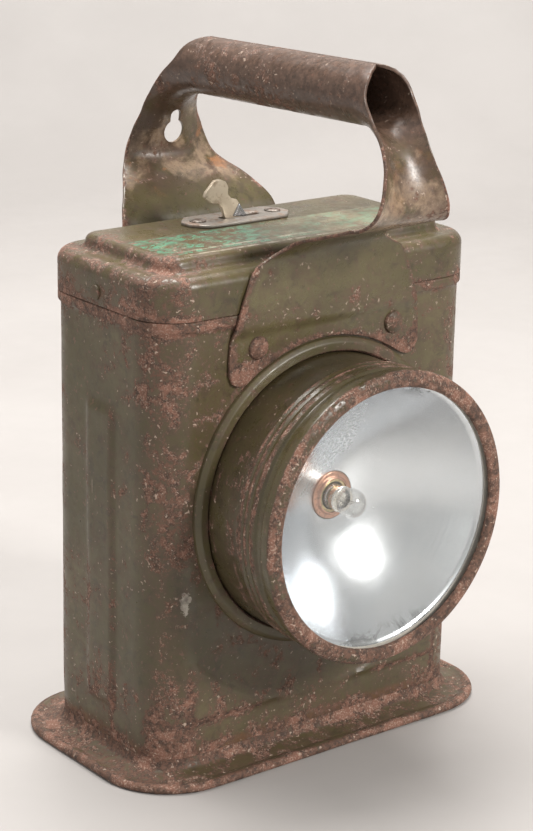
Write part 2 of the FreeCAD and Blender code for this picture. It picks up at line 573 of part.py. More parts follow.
for side, word in ((-1, "left"), (1, "right")):
    stud = new_body("lid_stud_" + word, side * half_width, 1.0, seam_height + 4.8)
    head = draw(stud, "YZ_Plane", circles=[(0.0, 0.0, 2.7)], offset=side * bead_out)
    push(stud, "Pad", head, 0.9, back=side < 0)
    soften(stud, 0.5, lambda edge: abs(edge.BoundBox.XMin) > bead_out.value + half_width.value + 0.5
           or abs(edge.BoundBox.XMin) > bead_out.value + 0.5 and abs(edge.BoundBox.XMin) < 10)
    shank = draw(stud, "YZ_Plane", circles=[(0.0, 0.0, 1.2)], offset=side * (bead_out - wall))
    push(stud, "Pad", shank, wall + 0.2, back=side < 0)

switch_plate = new_body("switch_plate", switch_across, switch_depth, crown)
half_long = switch_length / 2
half_wide = switch_width / 2
plate_loop = [(-half_long, -half_wide * 0.35, 2.0), (-half_long + 5.0, -half_wide, 3.0),
              (half_long - 5.0, -half_wide, 3.0), (half_long, -half_wide * 0.35, 2.0),
              (half_long, half_wide * 0.35, 2.0), (half_long - 5.0, half_wide, 3.0),
              (-half_long + 5.0, half_wide, 3.0), (-half_long, half_wide * 0.35, 2.0)]
blank = draw(switch_plate, "XY_Plane", [plate_loop])
push(switch_plate, "Pad", blank, switch_thick)
soften(switch_plate, 0.7, lambda edge: abs(edge.BoundBox.ZMin - edge.BoundBox.ZMax) < 0.01
       and edge.BoundBox.ZMin > 0.5 * switch_thick.value
       and edge.BoundBox.ZMin < crown.value + 0.0 or edge.BoundBox.ZMin > crown.value + 0.5)
mid = pivot_across - switch_across
cut_loop = [(mid - 9.0, -2.0, 1.9), (mid + 9.0, -2.0, 1.9), (mid + 9.0, 2.0, 1.9), (mid - 9.0, 2.0, 1.9)]
plate_cut = draw(switch_plate, "XY_Plane", [cut_loop], circles=[(-17.4, 0.0, 1.7), (17.4, 0.0, 1.7)],
                 offset=switch_thick + 1.0)
push(switch_plate, "Pocket", plate_cut, 4.0)
for side, word in ((-1, "left"), (1, "right")):
    screw = new_body("switch_screw_" + word, switch_across + side * 17.4, switch_depth, crown)
    spin(screw, [(0.0, -4.5), (1.6, -4.5, 0.3), (1.6, switch_thick), (3.2, switch_thick),
                 (2.9, switch_thick + 0.9, 0.5), (1.4, switch_thick + 1.3, 0.8), (0.0, switch_thick + 1.3)],
         "V_Axis", "XZ_Plane")

contact_board = new_body("contact_board", switch_across, switch_depth, crown - wall)
board = draw(contact_board, "XY_Plane", [rounded(half_long + 3.0, half_wide - 1.0, 3.0), cut_loop],
             circles=[(-17.4, 0.0, 1.7), (17.4, 0.0, 1.7)])
push(contact_board, "Pad", board, 1.5, back=True)
lever_bracket = new_body("lever_bracket", pivot_across, switch_depth, crown - wall - 1.5)
ear_drop = crown - wall - 1.5 - pivot_height
for side in (-1, 1):
    ear = draw(lever_bracket, "XZ_Plane", [[(-5.0, 0.0), (5.0, 0.0), (3.2, -ear_drop - 3.0, 3.0),
                                            (-3.2, -ear_drop - 3.0, 3.0)]],
               circles=[(0.0, -ear_drop, pin_radius)], offset=side * 2.6 - 0.5)
    push(lever_bracket, "Pad", ear, 1.0)
ties = draw(lever_bracket, "XY_Plane", [[(-12.0, -3.1), (12.0, -3.1), (12.0, 3.1), (-12.0, 3.1)],
                                        [(-9.2, -2.1), (9.2, -2.1), (9.2, 2.1), (-9.2, 2.1)]])
push(lever_bracket, "Pad", ties, 0.9, back=True)

lever_pin = new_body("lever_pin", pivot_across, switch_depth, pivot_height)
shaft = draw(lever_pin, "XZ_Plane", circles=[(0.0, 0.0, pin_radius)])
push(lever_pin, "Pad", shaft, 7.2, both=True)

switch_lever = new_body("switch_lever", pivot_across, switch_depth, pivot_height)
blade = draw(switch_lever, "XZ_Plane", [[
    (-2.6, -2.6, 2.4), (2.6, -2.6, 2.4), (3.6, 6.5, 1.5), (0.3, 10.8, 2.0), (-1.4, 13.4, 1.0), (-3.9, 14.0, 0.8),
    (-5.6, 15.8, 0.8), (-5.4, 18.4, 1.2), (-6.6, 20.6, 1.2), (-9.2, 21.8, 1.2), (-11.8, 21.5, 1.2),
    (-15.8, 17.5, 0.8), (-16.4, 15.7, 0.8), (-13.2, 13.2, 0.8), (-9.6, 12.5, 1.0), (-8.2, 10.6, 0.8),
    (-7.3, 7.9, 1.2), (-4.5, 2.0, 2.0)]], circles=[(0.0, 0.0, pin_radius + 0.06)])
push(switch_lever, "Pad", blade, lever_thick, both=True)
lug = draw(switch_lever, "XZ_Plane", [[(-3.4, 7.4), (3.3, 6.6), (0.3, 10.6), (-0.6, 12.0)]], offset=lever_thick / 2)
push(switch_lever, "Pad", lug, 0.5)

contact_spring = new_body("contact_spring", pivot_across, switch_depth, crown - wall - 1.5)
leaf = draw(contact_spring, "XZ_Plane", [[(12.5, 0.0), (22.0, 0.0), (22.0, -0.6), (15.0, -0.6, 0.8),
                                          (9.0, -6.0, 1.5), (8.5, -11.0), (7.9, -11.0), (8.3, -5.7, 1.2),
                                          (12.5, -1.0, 0.8)]])
push(contact_spring, "Pad", leaf, 6.4, both=True)
leaf_hole = draw(contact_spring, "XY_Plane", circles=[(switch_across + 17.4 - pivot_across, 0.0, 1.75)], offset=1.0)
push(contact_spring, "Pocket", leaf_hole, 3.0)

# ---- check and write
doc.recompute()
os.makedirs("parts", exist_ok=True)
for body in made:
    for feature in body.Group:
        if "Invalid" in feature.State or "Error" in feature.State:
            raise RuntimeError("%s in %s did not build" % (feature.Name, body.Label))
    if body.Shape.isNull() or not body.Shape.isValid() or len(body.Shape.Solids) < 1:
        raise RuntimeError("%s has no valid solid" % body.Label)
for body in made:
    body.Shape.exportStep("parts/%s.step" % body.Label)
    box = body.Shape.BoundBox
    print("%-20s %2d solids x %7.2f %7.2f y %7.2f %7.2f z %7.2f %7.2f" % (
        body.Label, len(body.Shape.Solids), box.XMin, box.XMax, box.YMin, box.YMax, box.ZMin, box.ZMax))
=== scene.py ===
"""Looks of the electric miner's hand lamp: sheet metal, worn olive paint, rust, silvered reflector."""
import json
import math

import bmesh
import bpy
import numpy as np
from mathutils import Matrix, Vector, noise


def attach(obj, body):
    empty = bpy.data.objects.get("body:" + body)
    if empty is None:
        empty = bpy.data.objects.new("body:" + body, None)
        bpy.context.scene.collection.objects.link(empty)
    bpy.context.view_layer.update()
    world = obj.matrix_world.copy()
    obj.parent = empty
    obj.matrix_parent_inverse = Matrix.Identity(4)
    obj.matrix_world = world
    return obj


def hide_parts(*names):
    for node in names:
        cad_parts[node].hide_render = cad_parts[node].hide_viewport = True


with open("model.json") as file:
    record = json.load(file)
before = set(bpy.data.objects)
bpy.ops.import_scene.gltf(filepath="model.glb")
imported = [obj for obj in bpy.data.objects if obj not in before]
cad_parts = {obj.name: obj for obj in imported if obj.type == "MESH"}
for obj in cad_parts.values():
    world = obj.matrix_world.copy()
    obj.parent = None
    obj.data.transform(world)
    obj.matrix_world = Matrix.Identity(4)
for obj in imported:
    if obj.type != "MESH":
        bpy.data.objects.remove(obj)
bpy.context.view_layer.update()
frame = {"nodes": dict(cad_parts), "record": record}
MM = 0.001

# sizes in mm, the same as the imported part
HALF_W, HALF_D, CORNER = 73.0, 36.9, 16.0    # case outline
SEAM = 173.7                                 # top of the case wall
LENS_Z = 100.4                               # height of the lens axis
LEDGE, CROWN = 189.0, 194.0                  # lid levels
BEAD = 1.1                                   # how far the seam bead stands out
GRIP_R = 10.9                                # outside of the grip tube
SHEET = 1.2                                  # handle sheet
DRUM_R, DRUM_BACK, DRUM_FRONT = 52.9, -34.8, -56.2
THREAD_R, BOWL_FRONT = 51.7, -72.1
RING_FRONT = -76.5
SWITCH_X, SWITCH_Y = -3.5, 13.0              # middle of the switch plate
PIVOT_X, PIVOT_Z = -2.0, 188.2               # the lever's pivot
RIVET_X, RIVET_Z = 31.5, 160.4
FOOT_HALF = 44.0                             # half the width of a foot plate

CHIP = (-0.0613, 0.0697, 0.0018, 0.0046)     # the bare chip in metres: x, z, half width, half height


# ---------------------------------------------------------------- mesh helpers
def rounded(points, closed=True, turn=12.0):
    """A polygon whose corners (a third value is the radius) become arcs."""
    out = []
    count = len(points)
    for i, point in enumerate(points):
        here = Vector(point[:2])
        radius = point[2] if len(point) > 2 else 0.0
        if radius <= 0 or (not closed and i in (0, count - 1)):
            out.append(tuple(here))
            continue
        before = Vector(points[i - 1][:2]) - here
        after = Vector(points[(i + 1) % count][:2]) - here
        len_b, len_a = before.length, after.length
        before.normalize()
        after.normalize()
        opening = math.acos(max(-1.0, min(1.0, before.dot(after))))
        if opening > math.pi - 1e-3:
            out.append(tuple(here))
            continue
        reach = min(radius / math.tan(opening / 2), 0.98 * len_b, 0.98 * len_a)
        radius = reach * math.tan(opening / 2)
        middle = here + (before + after).normalized() * (radius / math.sin(opening / 2))
        start = here + before * reach - middle
        end = here + after * reach - middle
        sweep = math.pi - opening
        steps = max(2, int(math.degrees(sweep) / turn))
        sign = 1.0 if start.x * end.y - start.y * end.x > 0 else -1.0
        for k in range(steps + 1):
            angle = sign * sweep * k / steps
            c, s = math.cos(angle), math.sin(angle)
            out.append((middle.x + start.x * c - start.y * s, middle.y + start.x * s + start.y * c))
    return out


def dense(points, gap, closed=True):
    """The same line with extra points so that no step is longer than gap."""
    out = []
    count = len(points)
    for i in range(count if closed else count - 1):
        a = Vector(points[i])
        b = Vector(points[(i + 1) % count])
        steps = max(1, int(math.ceil((b - a).length / gap)))
        for k in range(steps):
            out.append(tuple(a.lerp(b, k / steps)))
    if not closed:
        out.append(tuple(points[-1]))
    return out


def spline(knots, steps):
    """Natural cubic spline through rows of numbers, evenly sampled by chord length."""
    pts = np.array(knots, float)
    chord = np.concatenate([[0.0], np.cumsum(np.linalg.norm(np.diff(pts[:, :2], axis=0), axis=1))])
    n = len(chord)
    gaps = np.diff(chord)
    system = np.eye(n)
    right = np.zeros((n, pts.shape[1]))
    for i in range(1, n - 1):
        system[i, i - 1] = gaps[i - 1]
        system[i, i] = 2 * (gaps[i - 1] + gaps[i])
        system[i, i + 1] = gaps[i]
        right[i] = 6 * ((pts[i + 1] - pts[i]) / gaps[i] - (pts[i] - pts[i - 1]) / gaps[i - 1])
    bend = np.linalg.solve(system, right)
    out = []
    for s in np.linspace(0, chord[-1], steps):
        i = min(n - 2, int(np.searchsorted(chord, s, side="right")) - 1)
        d = gaps[i]
        a, b = (chord[i + 1] - s) / d, (s - chord[i]) / d
        out.append(a * pts[i] + b * pts[i + 1]
                   + ((a ** 3 - a) * bend[i] + (b ** 3 - b) * bend[i + 1]) * d * d / 6)
    return np.array(out)


def make(name, verts, faces, wear=None, smooth=True, sharp=None):
    """A mesh object from points in mm."""
    mesh = bpy.data.meshes.new(name)
    mesh.from_pydata([tuple(c * MM for c in v) for v in verts], [], faces)
    mesh.validate()
    if wear is not None and len(wear) == len(mesh.vertices):
        layer = mesh.attributes.new("wear", "FLOAT", "POINT")
        layer.data.foreach_set("value", [float(w) for w in wear])
    obj = bpy.data.objects.new(name, mesh)
    bpy.context.collection.objects.link(obj)
    if smooth:
        mesh.shade_smooth()
        if sharp:
            mesh.set_sharp_from_angle(angle=math.radians(sharp))
    return obj


def orient(obj):
    """Closed meshes face outwards."""
    work = bmesh.new()
    work.from_mesh(obj.data)
    bmesh.ops.remove_doubles(work, verts=work.verts, dist=1e-6)
    bmesh.ops.recalc_face_normals(work, faces=work.faces)
    work.to_mesh(obj.data)
    work.free()


def finish_piece(obj, body, slot, material, *nodes):
    obj.data.materials.clear()
    obj.data.materials.append(material)
    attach(obj, body)
    if nodes:
        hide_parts(*nodes)
    return obj


def apply_modifiers(obj):
    depth = bpy.context.evaluated_depsgraph_get()
    mesh = bpy.data.meshes.new_from_object(obj.evaluated_get(depth))
    obj.modifiers.clear()
    obj.data = mesh


def cut(obj, tool):
    mod = obj.modifiers.new("cut", "BOOLEAN")
    mod.operation = "DIFFERENCE"
    mod.solver = "EXACT"
    mod.object = tool
    apply_modifiers(obj)
    bpy.data.objects.remove(tool)


def cylinder(name, radius, middle, axis, length, steps=128):
    """A plain round tool for cutting."""
    axis = Vector(axis).normalized()
    across = axis.orthogonal().normalized()
    other = axis.cross(across)
    verts = []
    for end in (-0.5, 0.5):
        for i in range(steps):
            a = 2 * math.pi * i / steps
            verts.append(Vector(middle) + axis * (end * length)
                         + (across * math.cos(a) + other * math.sin(a)) * radius)
    faces = [(i, (i + 1) % steps, steps + (i + 1) % steps, steps + i) for i in range(steps)]
    faces.append(tuple(range(steps))[::-1])
    faces.append(tuple(range(steps, 2 * steps)))
    obj = make(name, verts, faces, smooth=False)
    orient(obj)
    return obj


def outline_ring(gap=2.0):
    """Points, outward normals and corner share round the case outline."""
    ring = []
    for sx, sy, first in ((1, 1, 0), (-1, 1, 90), (-1, -1, 180), (1, -1, 270)):
        mid = Vector((sx * (HALF_W - CORNER), sy * (HALF_D - CORNER)))
        for k in range(13):
            a = math.radians(first + 90 * k / 12)
            n = Vector((math.cos(a), math.sin(a)))
            ring.append((mid + n * CORNER, n, math.sin(math.pi * k / 12)))
    out = []
    for i, (p, n, c) in enumerate(ring):
        q, m, _ = ring[(i + 1) % len(ring)]
        steps = max(1, int(round((q - p).length / gap))) if (n - m).length < 1e-6 else 1
        for k in range(steps):
            out.append((p.lerp(q, k / steps), n, c if k == 0 else 0.0))
    return out


def swept(name, profile, gap=2.0, wear=None, shape=None):
    """A closed wall section (outset, height) carried round the case outline."""
    ring = outline_ring(gap)
    rows = len(profile)
    verts, values = [], []
    for p, n, c in ring:
        for j, (u, z) in enumerate(profile):
            spot = Vector((p.x + n.x * u, p.y + n.y * u, z))
            if shape:
                spot = shape(spot, n, u, z)
            verts.append(tuple(spot))
            values.append(wear(spot, u, z, c) if wear else 0.0)
    count = len(ring)
    faces = [(i * rows + j, ((i + 1) % count) * rows + j, ((i + 1) % count) * rows + (j + 1) % rows,
              i * rows + (j + 1) % rows) for i in range(count) for j in range(rows)]
    obj = make(name, verts, faces, values, sharp=50)
    orient(obj)
    return obj


def turned(name, profile, steps=160, wear=None, mid=(0.0, 0.0, LENS_Z), axis="y", closed=True, sharp=50,
           wobble=0.0):
    """A profile (along, radius) turned about the lens axis, or about an upright axis."""
    verts, values = [], []
    rows = len(profile)
    for i in range(steps):
        a = 2 * math.pi * i / steps
        c, s = math.cos(a), math.sin(a)
        for along, radius in profile:
            r = radius
            if wobble and radius > 1:
                r += wobble * noise.noise(Vector((c * 2.2, s * 2.2, along * 0.07)))
            if axis == "y":
                spot = (mid[0] + r * s, mid[1] + along, mid[2] + r * c)
            else:
                spot = (mid[0] + r * c, mid[1] + r * s, mid[2] + along)
            verts.append(spot)
            values.append(wear(along, radius, a) if wear else 0.0)
    faces = []
    for i in range(steps):
        k = (i + 1) % steps
        for j in range(rows if closed else rows - 1):
            faces.append((i * rows + j, k * rows + j, k * rows + (j + 1) % rows, i * rows + (j + 1) % rows))
    obj = make(name, verts, faces, values, sharp=sharp)
    orient(obj)
    return obj


def slab(name, points, low, high, place, bevel=0.35, holes=()):
    """A flat stamped piece: an outline between two levels, edges softened. place maps (a, b, level) to mm."""
    line = rounded(points, True, 15.0)
    count = len(line)
    verts = [place(a, b, low) for a, b in line] + [place(a, b, high) for a, b in line]
    faces = [(i, (i + 1) % count, count + (i + 1) % count, count + i) for i in range(count)]
    faces.append(tuple(range(count))[::-1])
    faces.append(tuple(range(count, 2 * count)))
    obj = make(name, verts, faces, smooth=False)
    orient(obj)
    for tool in holes:
        cut(obj, tool)
    if bevel:
        mod = obj.modifiers.new("soft", "BEVEL")
        mod.width = bevel * MM
        mod.segments = 3
        mod.limit_method = "ANGLE"
        mod.angle_limit = math.radians(40)
        apply_modifiers(obj)
    obj.data.shade_smooth()
    obj.data.set_sharp_from_angle(angle=math.radians(35))
    return obj


def block(name, low, high):
    xs, ys, zs = zip(low, high)
    verts = [(x, y, z) for x in xs for y in ys for z in zs]
    faces = [(0, 1, 3, 2), (4, 6, 7, 5), (0, 4, 5, 1), (2, 3, 7, 6), (0, 2, 6, 4), (1, 5, 7, 3)]
    obj = make(name, verts, faces, smooth=False)
    orient(obj)
    return obj


def ease(low, high, value):
    t = max(0.0, min(1.0, (value - low) / (high - low)))
    return t * t * (3 - 2 * t)


# ---------------------------------------------------------------- material helpers
class Look:
    """Short names for the nodes of one material."""

    def __init__(self, name):
        self.material = bpy.data.materials.new(name)
        self.material.use_nodes = True
        self.tree = self.material.node_tree
        self.shader = self.tree.nodes["Principled BSDF"]
        self.place = self.tree.nodes.new("ShaderNodeTexCoord").outputs["Object"]

    def link(self, source, target):
        """Join a socket to an input, or set the input to a value."""
        if isinstance(source, bpy.types.NodeSocket):
            self.tree.links.new(source, target)
        else:
            target.default_value = source

    def node(self, kind, **inputs):
        """A new node with its named inputs joined or set; an underscore stands for a space."""
        node = self.tree.nodes.new("ShaderNode" + kind)
        for key, item in inputs.items():
            self.link(item, node.inputs[key.replace("_", " ")])
        return node

    def mapped(self, scale=(1, 1, 1), shift=(0, 0, 0)):
        return self.node("Mapping", Scale=scale, Location=shift, Vector=self.place).outputs["Vector"]

    def noise(self, scale, detail=4.0, rough=0.55, warp=0.0, place=None):
        node = self.node("TexNoise", Scale=scale, Detail=detail, Roughness=rough, Distortion=warp,
                         Vector=place or self.place)
        return node.outputs["Fac"]

    def attribute(self, name):
        node = self.node("Attribute")
        node.attribute_name = name
        return node.outputs["Fac"]

    def math(self, kind, a, b=0.0):
        node = self.node("Math")
        node.operation = kind
        self.link(a, node.inputs[0])
        self.link(b, node.inputs[1])
        return node.outputs[0]

    def times(self, first, *rest):
        for item in rest:
            first = self.math("MULTIPLY", first, item)
        return first

    def plus(self, a, b):
        return self.math("ADD", a, b)

    def minus(self, a, b):
        return self.math("SUBTRACT", a, b)

    def reach(self, a, b):
        """The length of the vector (a, b)."""
        return self.math("SQRT", self.plus(self.times(a, a), self.times(b, b)))

    def span(self, value, low, high, new_low, new_high, kind="LINEAR"):
        node = self.node("MapRange", Value=value, From_Min=low, From_Max=high, To_Min=new_low,
                         To_Max=new_high)
        node.interpolation_type = kind
        return node.outputs["Result"]

    def step(self, value, low, high):
        return self.span(value, low, high, 0.0, 1.0, "SMOOTHSTEP")

    def mix(self, share, a, b, blend="MIX"):
        node = self.node("Mix")
        node.data_type = "RGBA"
        node.blend_type = blend
        self.link(share, node.inputs["Factor"])
        for item, socket in ((a, node.inputs[6]), (b, node.inputs[7])):
            self.link(item + (1.0,) if isinstance(item, tuple) else item, socket)
        return node.outputs[2]

    def blend(self, share, a, b):
        """Mix of two shaders."""
        node = self.node("MixShader")
        for item, socket in zip((share, a, b), node.inputs):
            self.link(item, socket)
        return node.outputs[0]

    def axis(self, letter):
        return self.node("SeparateXYZ", Vector=self.place).outputs["XYZ".index(letter)]

    def bump(self, height, strength, distance):
        return self.node("Bump", Strength=strength, Distance=distance, Height=height).outputs["Normal"]

    def done(self, color, rough, normal, metal=0.0):
        keys = ("Base Color", "Roughness", "Normal", "Metallic")
        for item, key in zip((color, rough, normal, metal), keys):
            self.link(item, self.shader.inputs[key])
        return self.material


OLIVE = (0.082, 0.069, 0.030)
OLIVE_LIGHT = (0.126, 0.107, 0.052)
BROWN = (0.088, 0.052, 0.036)
RUST_DARK = (0.046, 0.026, 0.019)
RUST_MID = (0.140, 0.071, 0.047)
RUST_RED = (0.225, 0.108, 0.075)
RUST_PALE = (0.470, 0.350, 0.275)


def worn_paint(name, level, seed, gloss, extra=None, tint=None, brown=0.0, ring=0.0, grit=0.42, dark=1.0):
    """Olive paint that has worn and rusted through, mostly along edges.

    A lower level gives more rust. extra adds to the rust mask, tint recolors the sound paint, brown and dark
    shift it, ring draws the mask into lines round the lens axis, and grit is the share of pale grains.
    """
    look = Look(name)
    place = look.mapped(shift=(seed, seed * 0.7, seed * 1.3))
    broad = look.noise(22, 3, 0.5, 0.3, place)
    patch = look.noise(125, 7, 0.66, 0.5, place)
    fine = look.noise(520, 6, 0.70, 0.0, place)
    speck = look.noise(1500, 3, 0.6, 0.0, place)
    flake = look.noise(620, 2, 0.5, 0.4, look.mapped(shift=(seed + 7, 2, 4)))
    mask = look.plus(look.times(broad, 0.30), look.times(patch, 0.45))
    mask = look.plus(mask, look.times(fine, 0.25))
    mask = look.plus(mask, look.times(look.attribute("wear"), 0.17))
    if extra:
        mask = look.plus(mask, extra(look))
    if ring:
        round_lines = look.noise(1.0, 5, 0.62, 0.0, look.mapped(scale=(16, 620, 16), shift=(seed, 1, 0)))
        mask = look.plus(mask, look.span(round_lines, 0.3, 0.7, -ring, ring))
    rust = look.step(mask, level - 0.010, level + 0.028)
    heart = look.step(mask, level + 0.02, level + 0.10)
    stain = look.step(mask, level - 0.10, level + 0.005)
    paint = look.mix(look.step(broad, 0.35, 0.68), OLIVE, OLIVE_LIGHT)
    if tint:
        paint = tint(look, paint, place)
    mottle = look.step(look.noise(300, 7, 0.78, 0.2, place), 0.44, 0.66)
    paint = look.mix(look.times(mottle, 0.34), paint, BROWN)
    grime = look.step(look.noise(150, 6, 0.72, 0.6, look.mapped(shift=(seed + 11, 3, 8))), 0.50, 0.66)
    paint = look.mix(look.times(grime, 0.50), paint, (0.040, 0.030, 0.020))
    dots = look.step(look.noise(430, 3, 0.6, 0.3, look.mapped(shift=(seed + 5, 9, 1))), 0.625, 0.70)
    paint = look.mix(look.times(dots, 0.75), paint, (0.175, 0.095, 0.068))
    film = look.noise(11, 5, 0.65, 0.0, look.mapped(scale=(1, 1, 0.25), shift=(seed + 3, 1, 2)))
    paint = look.mix(look.step(film, 0.40, 0.66), paint, look.mix(1.0, paint, (0.74, 0.72, 0.70), "MULTIPLY"))
    paint = look.mix(look.times(stain, 0.50), paint, BROWN)
    if brown:
        paint = look.mix(brown, paint, (0.080, 0.050, 0.038))
    if dark < 1:
        paint = look.mix(1.0, paint, (dark, dark, dark * 0.94), "MULTIPLY")
    scratch = look.noise(1.0, 2, 0.5, 0.0, look.mapped(scale=(700, 700, 16), shift=(seed, 5, 1)))
    scratch = look.times(look.step(scratch, 0.735, 0.76), look.step(patch, 0.46, 0.58))
    paint = look.mix(look.times(scratch, 0.7), paint, (0.30, 0.25, 0.19))
    oxide = look.mix(look.step(fine, 0.38, 0.60), RUST_DARK, RUST_MID)
    oxide = look.mix(look.times(heart, look.step(patch, 0.46, 0.62)), oxide, RUST_RED)
    grain = look.times(look.step(speck, 0.50, 0.64), look.step(patch, 0.40, 0.60))
    oxide = look.mix(look.times(grain, grit), oxide, RUST_PALE)
    color = look.mix(look.times(rust, 0.93), paint, oxide)
    chips = look.times(look.step(flake, 0.66, 0.72), look.step(mask, level - 0.085, level - 0.01))
    color = look.mix(look.times(chips, 0.70), color, (0.50, 0.39, 0.31))
    rough = look.span(rust, 0, 1, gloss, 0.72)
    rough = look.plus(rough, look.span(patch, 0.3, 0.7, -0.07, 0.12))
    rough = look.plus(rough, look.times(mottle, 0.10))
    height = look.plus(look.times(rust, look.span(fine, 0.3, 0.7, -1.0, 0.5)),
                       look.times(look.noise(240, 3, 0.55, 0.0, place), 0.45))
    normal = look.bump(height, 0.65, 0.00028)
    return look.done(color, rough, normal)


def metal(name, color, dark, rough, seed=0.0, spots=0.5, scale=300.0, amount=1.0):
    """Bare metal with tarnish."""
    look = Look(name)
    place = look.mapped(shift=(seed, 0.3, seed))
    tarnish = look.step(look.noise(scale, 5, 0.6, 0.2, place), spots - 0.08, spots + 0.12)
    grain = look.noise(2600, 3, 0.6, 0.0, place)
    shade = look.mix(tarnish, color, dark)
    tarnished = look.span(tarnish, 0, 1, rough, rough + 0.25)
    rough_now = look.plus(tarnished, look.span(grain, 0.3, 0.7, -0.05, 0.05))
    metallic = look.span(tarnish, 0, 1, amount, amount * 0.6)
    return look.done(shade, rough_now, look.bump(grain, 0.25, 0.0001), metallic)


def matte(name, color, other, rough, scale=220.0, seed=0.0, bump=0.3):
    """A dull surface in two close shades."""
    look = Look(name)
    place = look.mapped(shift=(seed, seed, 0))
    grain = look.noise(scale, 6, 0.65, 0.0, place)
    fine = look.noise(scale * 7, 3, 0.6, 0.0, place)
    shade = look.mix(look.step(grain, 0.35, 0.65), color, other)
    rough_now = look.span(fine, 0.3, 0.7, rough - 0.06, rough + 0.08)
    return look.done(shade, rough_now, look.bump(fine, bump, 0.00015))


# ---------------------------------------------------------------- case
RIB_OUT, PANEL_OUT, DENT_DEEP = 1.15, 1.25, 0.32


def case_shape(spot, n, u, z):
    """Pressed ribs on the narrow sides, corner panels on the front, and shallow dents."""
    if u < -0.6 or z > SEAM - 6:
        return spot
    out = 0.0
    if abs(n.x) > 0.999:
        across = 1 - ease(6.6, 9.6, abs(spot.y))
        along = ease(20.0, 24.5, z) * (1 - ease(134.5, 139.0, z))
        out += RIB_OUT * across * along
    if n.y < -0.999:
        panel = PANEL_OUT * (1 - ease(57.6, 59.2, abs(spot.x)))
        reach = math.hypot(spot.x, z - LENS_Z)
        if z < LENS_Z:
            out += panel * ease(20.6, 22.2, z) * ease(78.6, 80.8, reach)
        else:
            out += panel * (1 - ease(140.0, 143.0, z)) * ease(71.2, 73.4, reach)
    fade = ease(8.0, 22.0, z) * (1 - ease(150.0, 168.0, z))
    dent = noise.noise(Vector((spot.x, spot.y, z)) * 0.021 + Vector((3.1, 0, 1.7)))
    dent += 0.5 * noise.noise(Vector((spot.x, spot.y, z)) * 0.06)
    out += DENT_DEEP * dent * fade
    return Vector((spot.x + n.x * out, spot.y + n.y * out, z))


def case_wear(spot, u, z, c):
    """More wear at the corners, the foot, the seam, round the drum and on the pressed edges."""
    w = 0.38 * c
    w += 0.42 * (1 - ease(8.0, 15.0, z))
    w += 0.38 * ease(SEAM - 6.5, SEAM - 3.5, z)
    if spot.y < -30 and abs(spot.x) < 72:
        reach = math.hypot(spot.x, z - LENS_Z)
        w += 0.25 * (1 - ease(60, 72, reach))
        upright_edge = math.exp(-((abs(spot.x) - 58.7) / 1.3) ** 2) * (z < 44)
        level_edge = math.exp(-((z - 21.5) / 1.2) ** 2) * (26 < abs(spot.x) < 60)
        w += 0.75 * max(upright_edge, level_edge)
    if abs(spot.x) > 72 and abs(abs(spot.y) - 8) < 1.6 and 20 < z < 139:
        w += 0.30
    return w


def case_extra(look):
    """More rust low down on the front left and less on the far right."""
    x, z = look.axis("X"), look.axis("Z")
    low = look.step(z, 0.075, 0.012)
    left = look.step(x, 0.020, -0.070)
    return look.times(look.plus(low, left), 0.022)


def case_tint(look, paint, place):
    """One pale chip on the front near the left edge, and the thin brown line just above the foot."""
    x, y, z = look.axis("X"), look.axis("Y"), look.axis("Z")
    edge = look.span(look.noise(420, 4, 0.6, 0.0, place), 0.3, 0.7, -0.45, 0.45)
    a = look.math("DIVIDE", look.minus(x, CHIP[0]), CHIP[2])
    b = look.math("DIVIDE", look.minus(z, CHIP[1]), CHIP[3])
    inside = look.step(look.plus(look.reach(a, b), edge), 1.0, 0.85)
    inside = look.times(inside, look.step(y, -0.035, -0.0355))
    line = look.step(look.plus(z, look.times(edge, 0.0015)), 0.0130, 0.0105)
    paint = look.mix(look.times(line, 0.7), paint, (0.20, 0.095, 0.045))
    return look.mix(inside, paint, (0.50, 0.47, 0.40))


body_paint = worn_paint("case_paint", 0.578, 1.0, 0.34, case_extra, case_tint)
case_profile = dense(rounded([
    (0.0, 8.3), (0.0, SEAM - 4.6), (BEAD, SEAM - 3.5, 0.9), (BEAD, SEAM, 0.9), (-0.4, SEAM, 0.3),
    (-0.4, SEAM + 8.0, 0.3), (-1.3, SEAM + 8.0, 0.3), (-1.3, SEAM - 1.5, 0.6), (-1.0, SEAM - 4.0),
    (-1.0, 8.3)]), 1.3)
case_skin = swept("case_skin", case_profile, 1.2, case_wear, case_shape)
cut(case_skin, cylinder("tool", DRUM_R + 0.3, (0, -HALF_D, LENS_Z), (0, 1, 0), 12.0, 192))
finish_piece(case_skin, "case", "case_paint", body_paint, "case_shell")

# ---------------------------------------------------------------- base flange
RIM_OUT = 13.1
flange_profile = rounded([
    (-2.0, 17.2, 0.3), (-1.05, 17.2, 0.3), (-1.05, 8.25), (0.0, 8.2), (0.8, 4.5, 3.6), (8.7, 2.7, 3.2),
    (10.4, 3.4, 1.2), (RIM_OUT, 3.4, 1.7), (RIM_OUT, 0.0, 1.6), (9.7, 0.0, 0.4), (9.6, 1.05, 0.2),
    (5.6, 1.05, 1.5), (0.0, 3.2, 3.0), (-2.0, 6.2, 3.0)], turn=10.0)


def flange_shape(spot, n, u, z):
    """A rim that has been knocked up, down and inwards a little."""
    lift = 0.35 * noise.noise(Vector((spot.x, spot.y, 0)) * 0.035 + Vector((9, 2, 1)))
    share = ease(3.0, 12.0, u) * ease(0.4, 2.5, z)
    reach = min(0.0, 0.5 * noise.noise(Vector((spot.x, spot.y, 5)) * 0.03)) * ease(6.0, 12.0, u)
    return Vector((spot.x + n.x * reach, spot.y + n.y * reach, z + lift * share * (0.6 if lift > 0 else 1.0)))


def flange_wear(spot, u, z, c):
    return 0.30 + 0.25 * c + 0.75 * ease(10.6, 12.6, u) + 0.45 * (1 - ease(0.3, 1.8, abs(u - 0.6)))


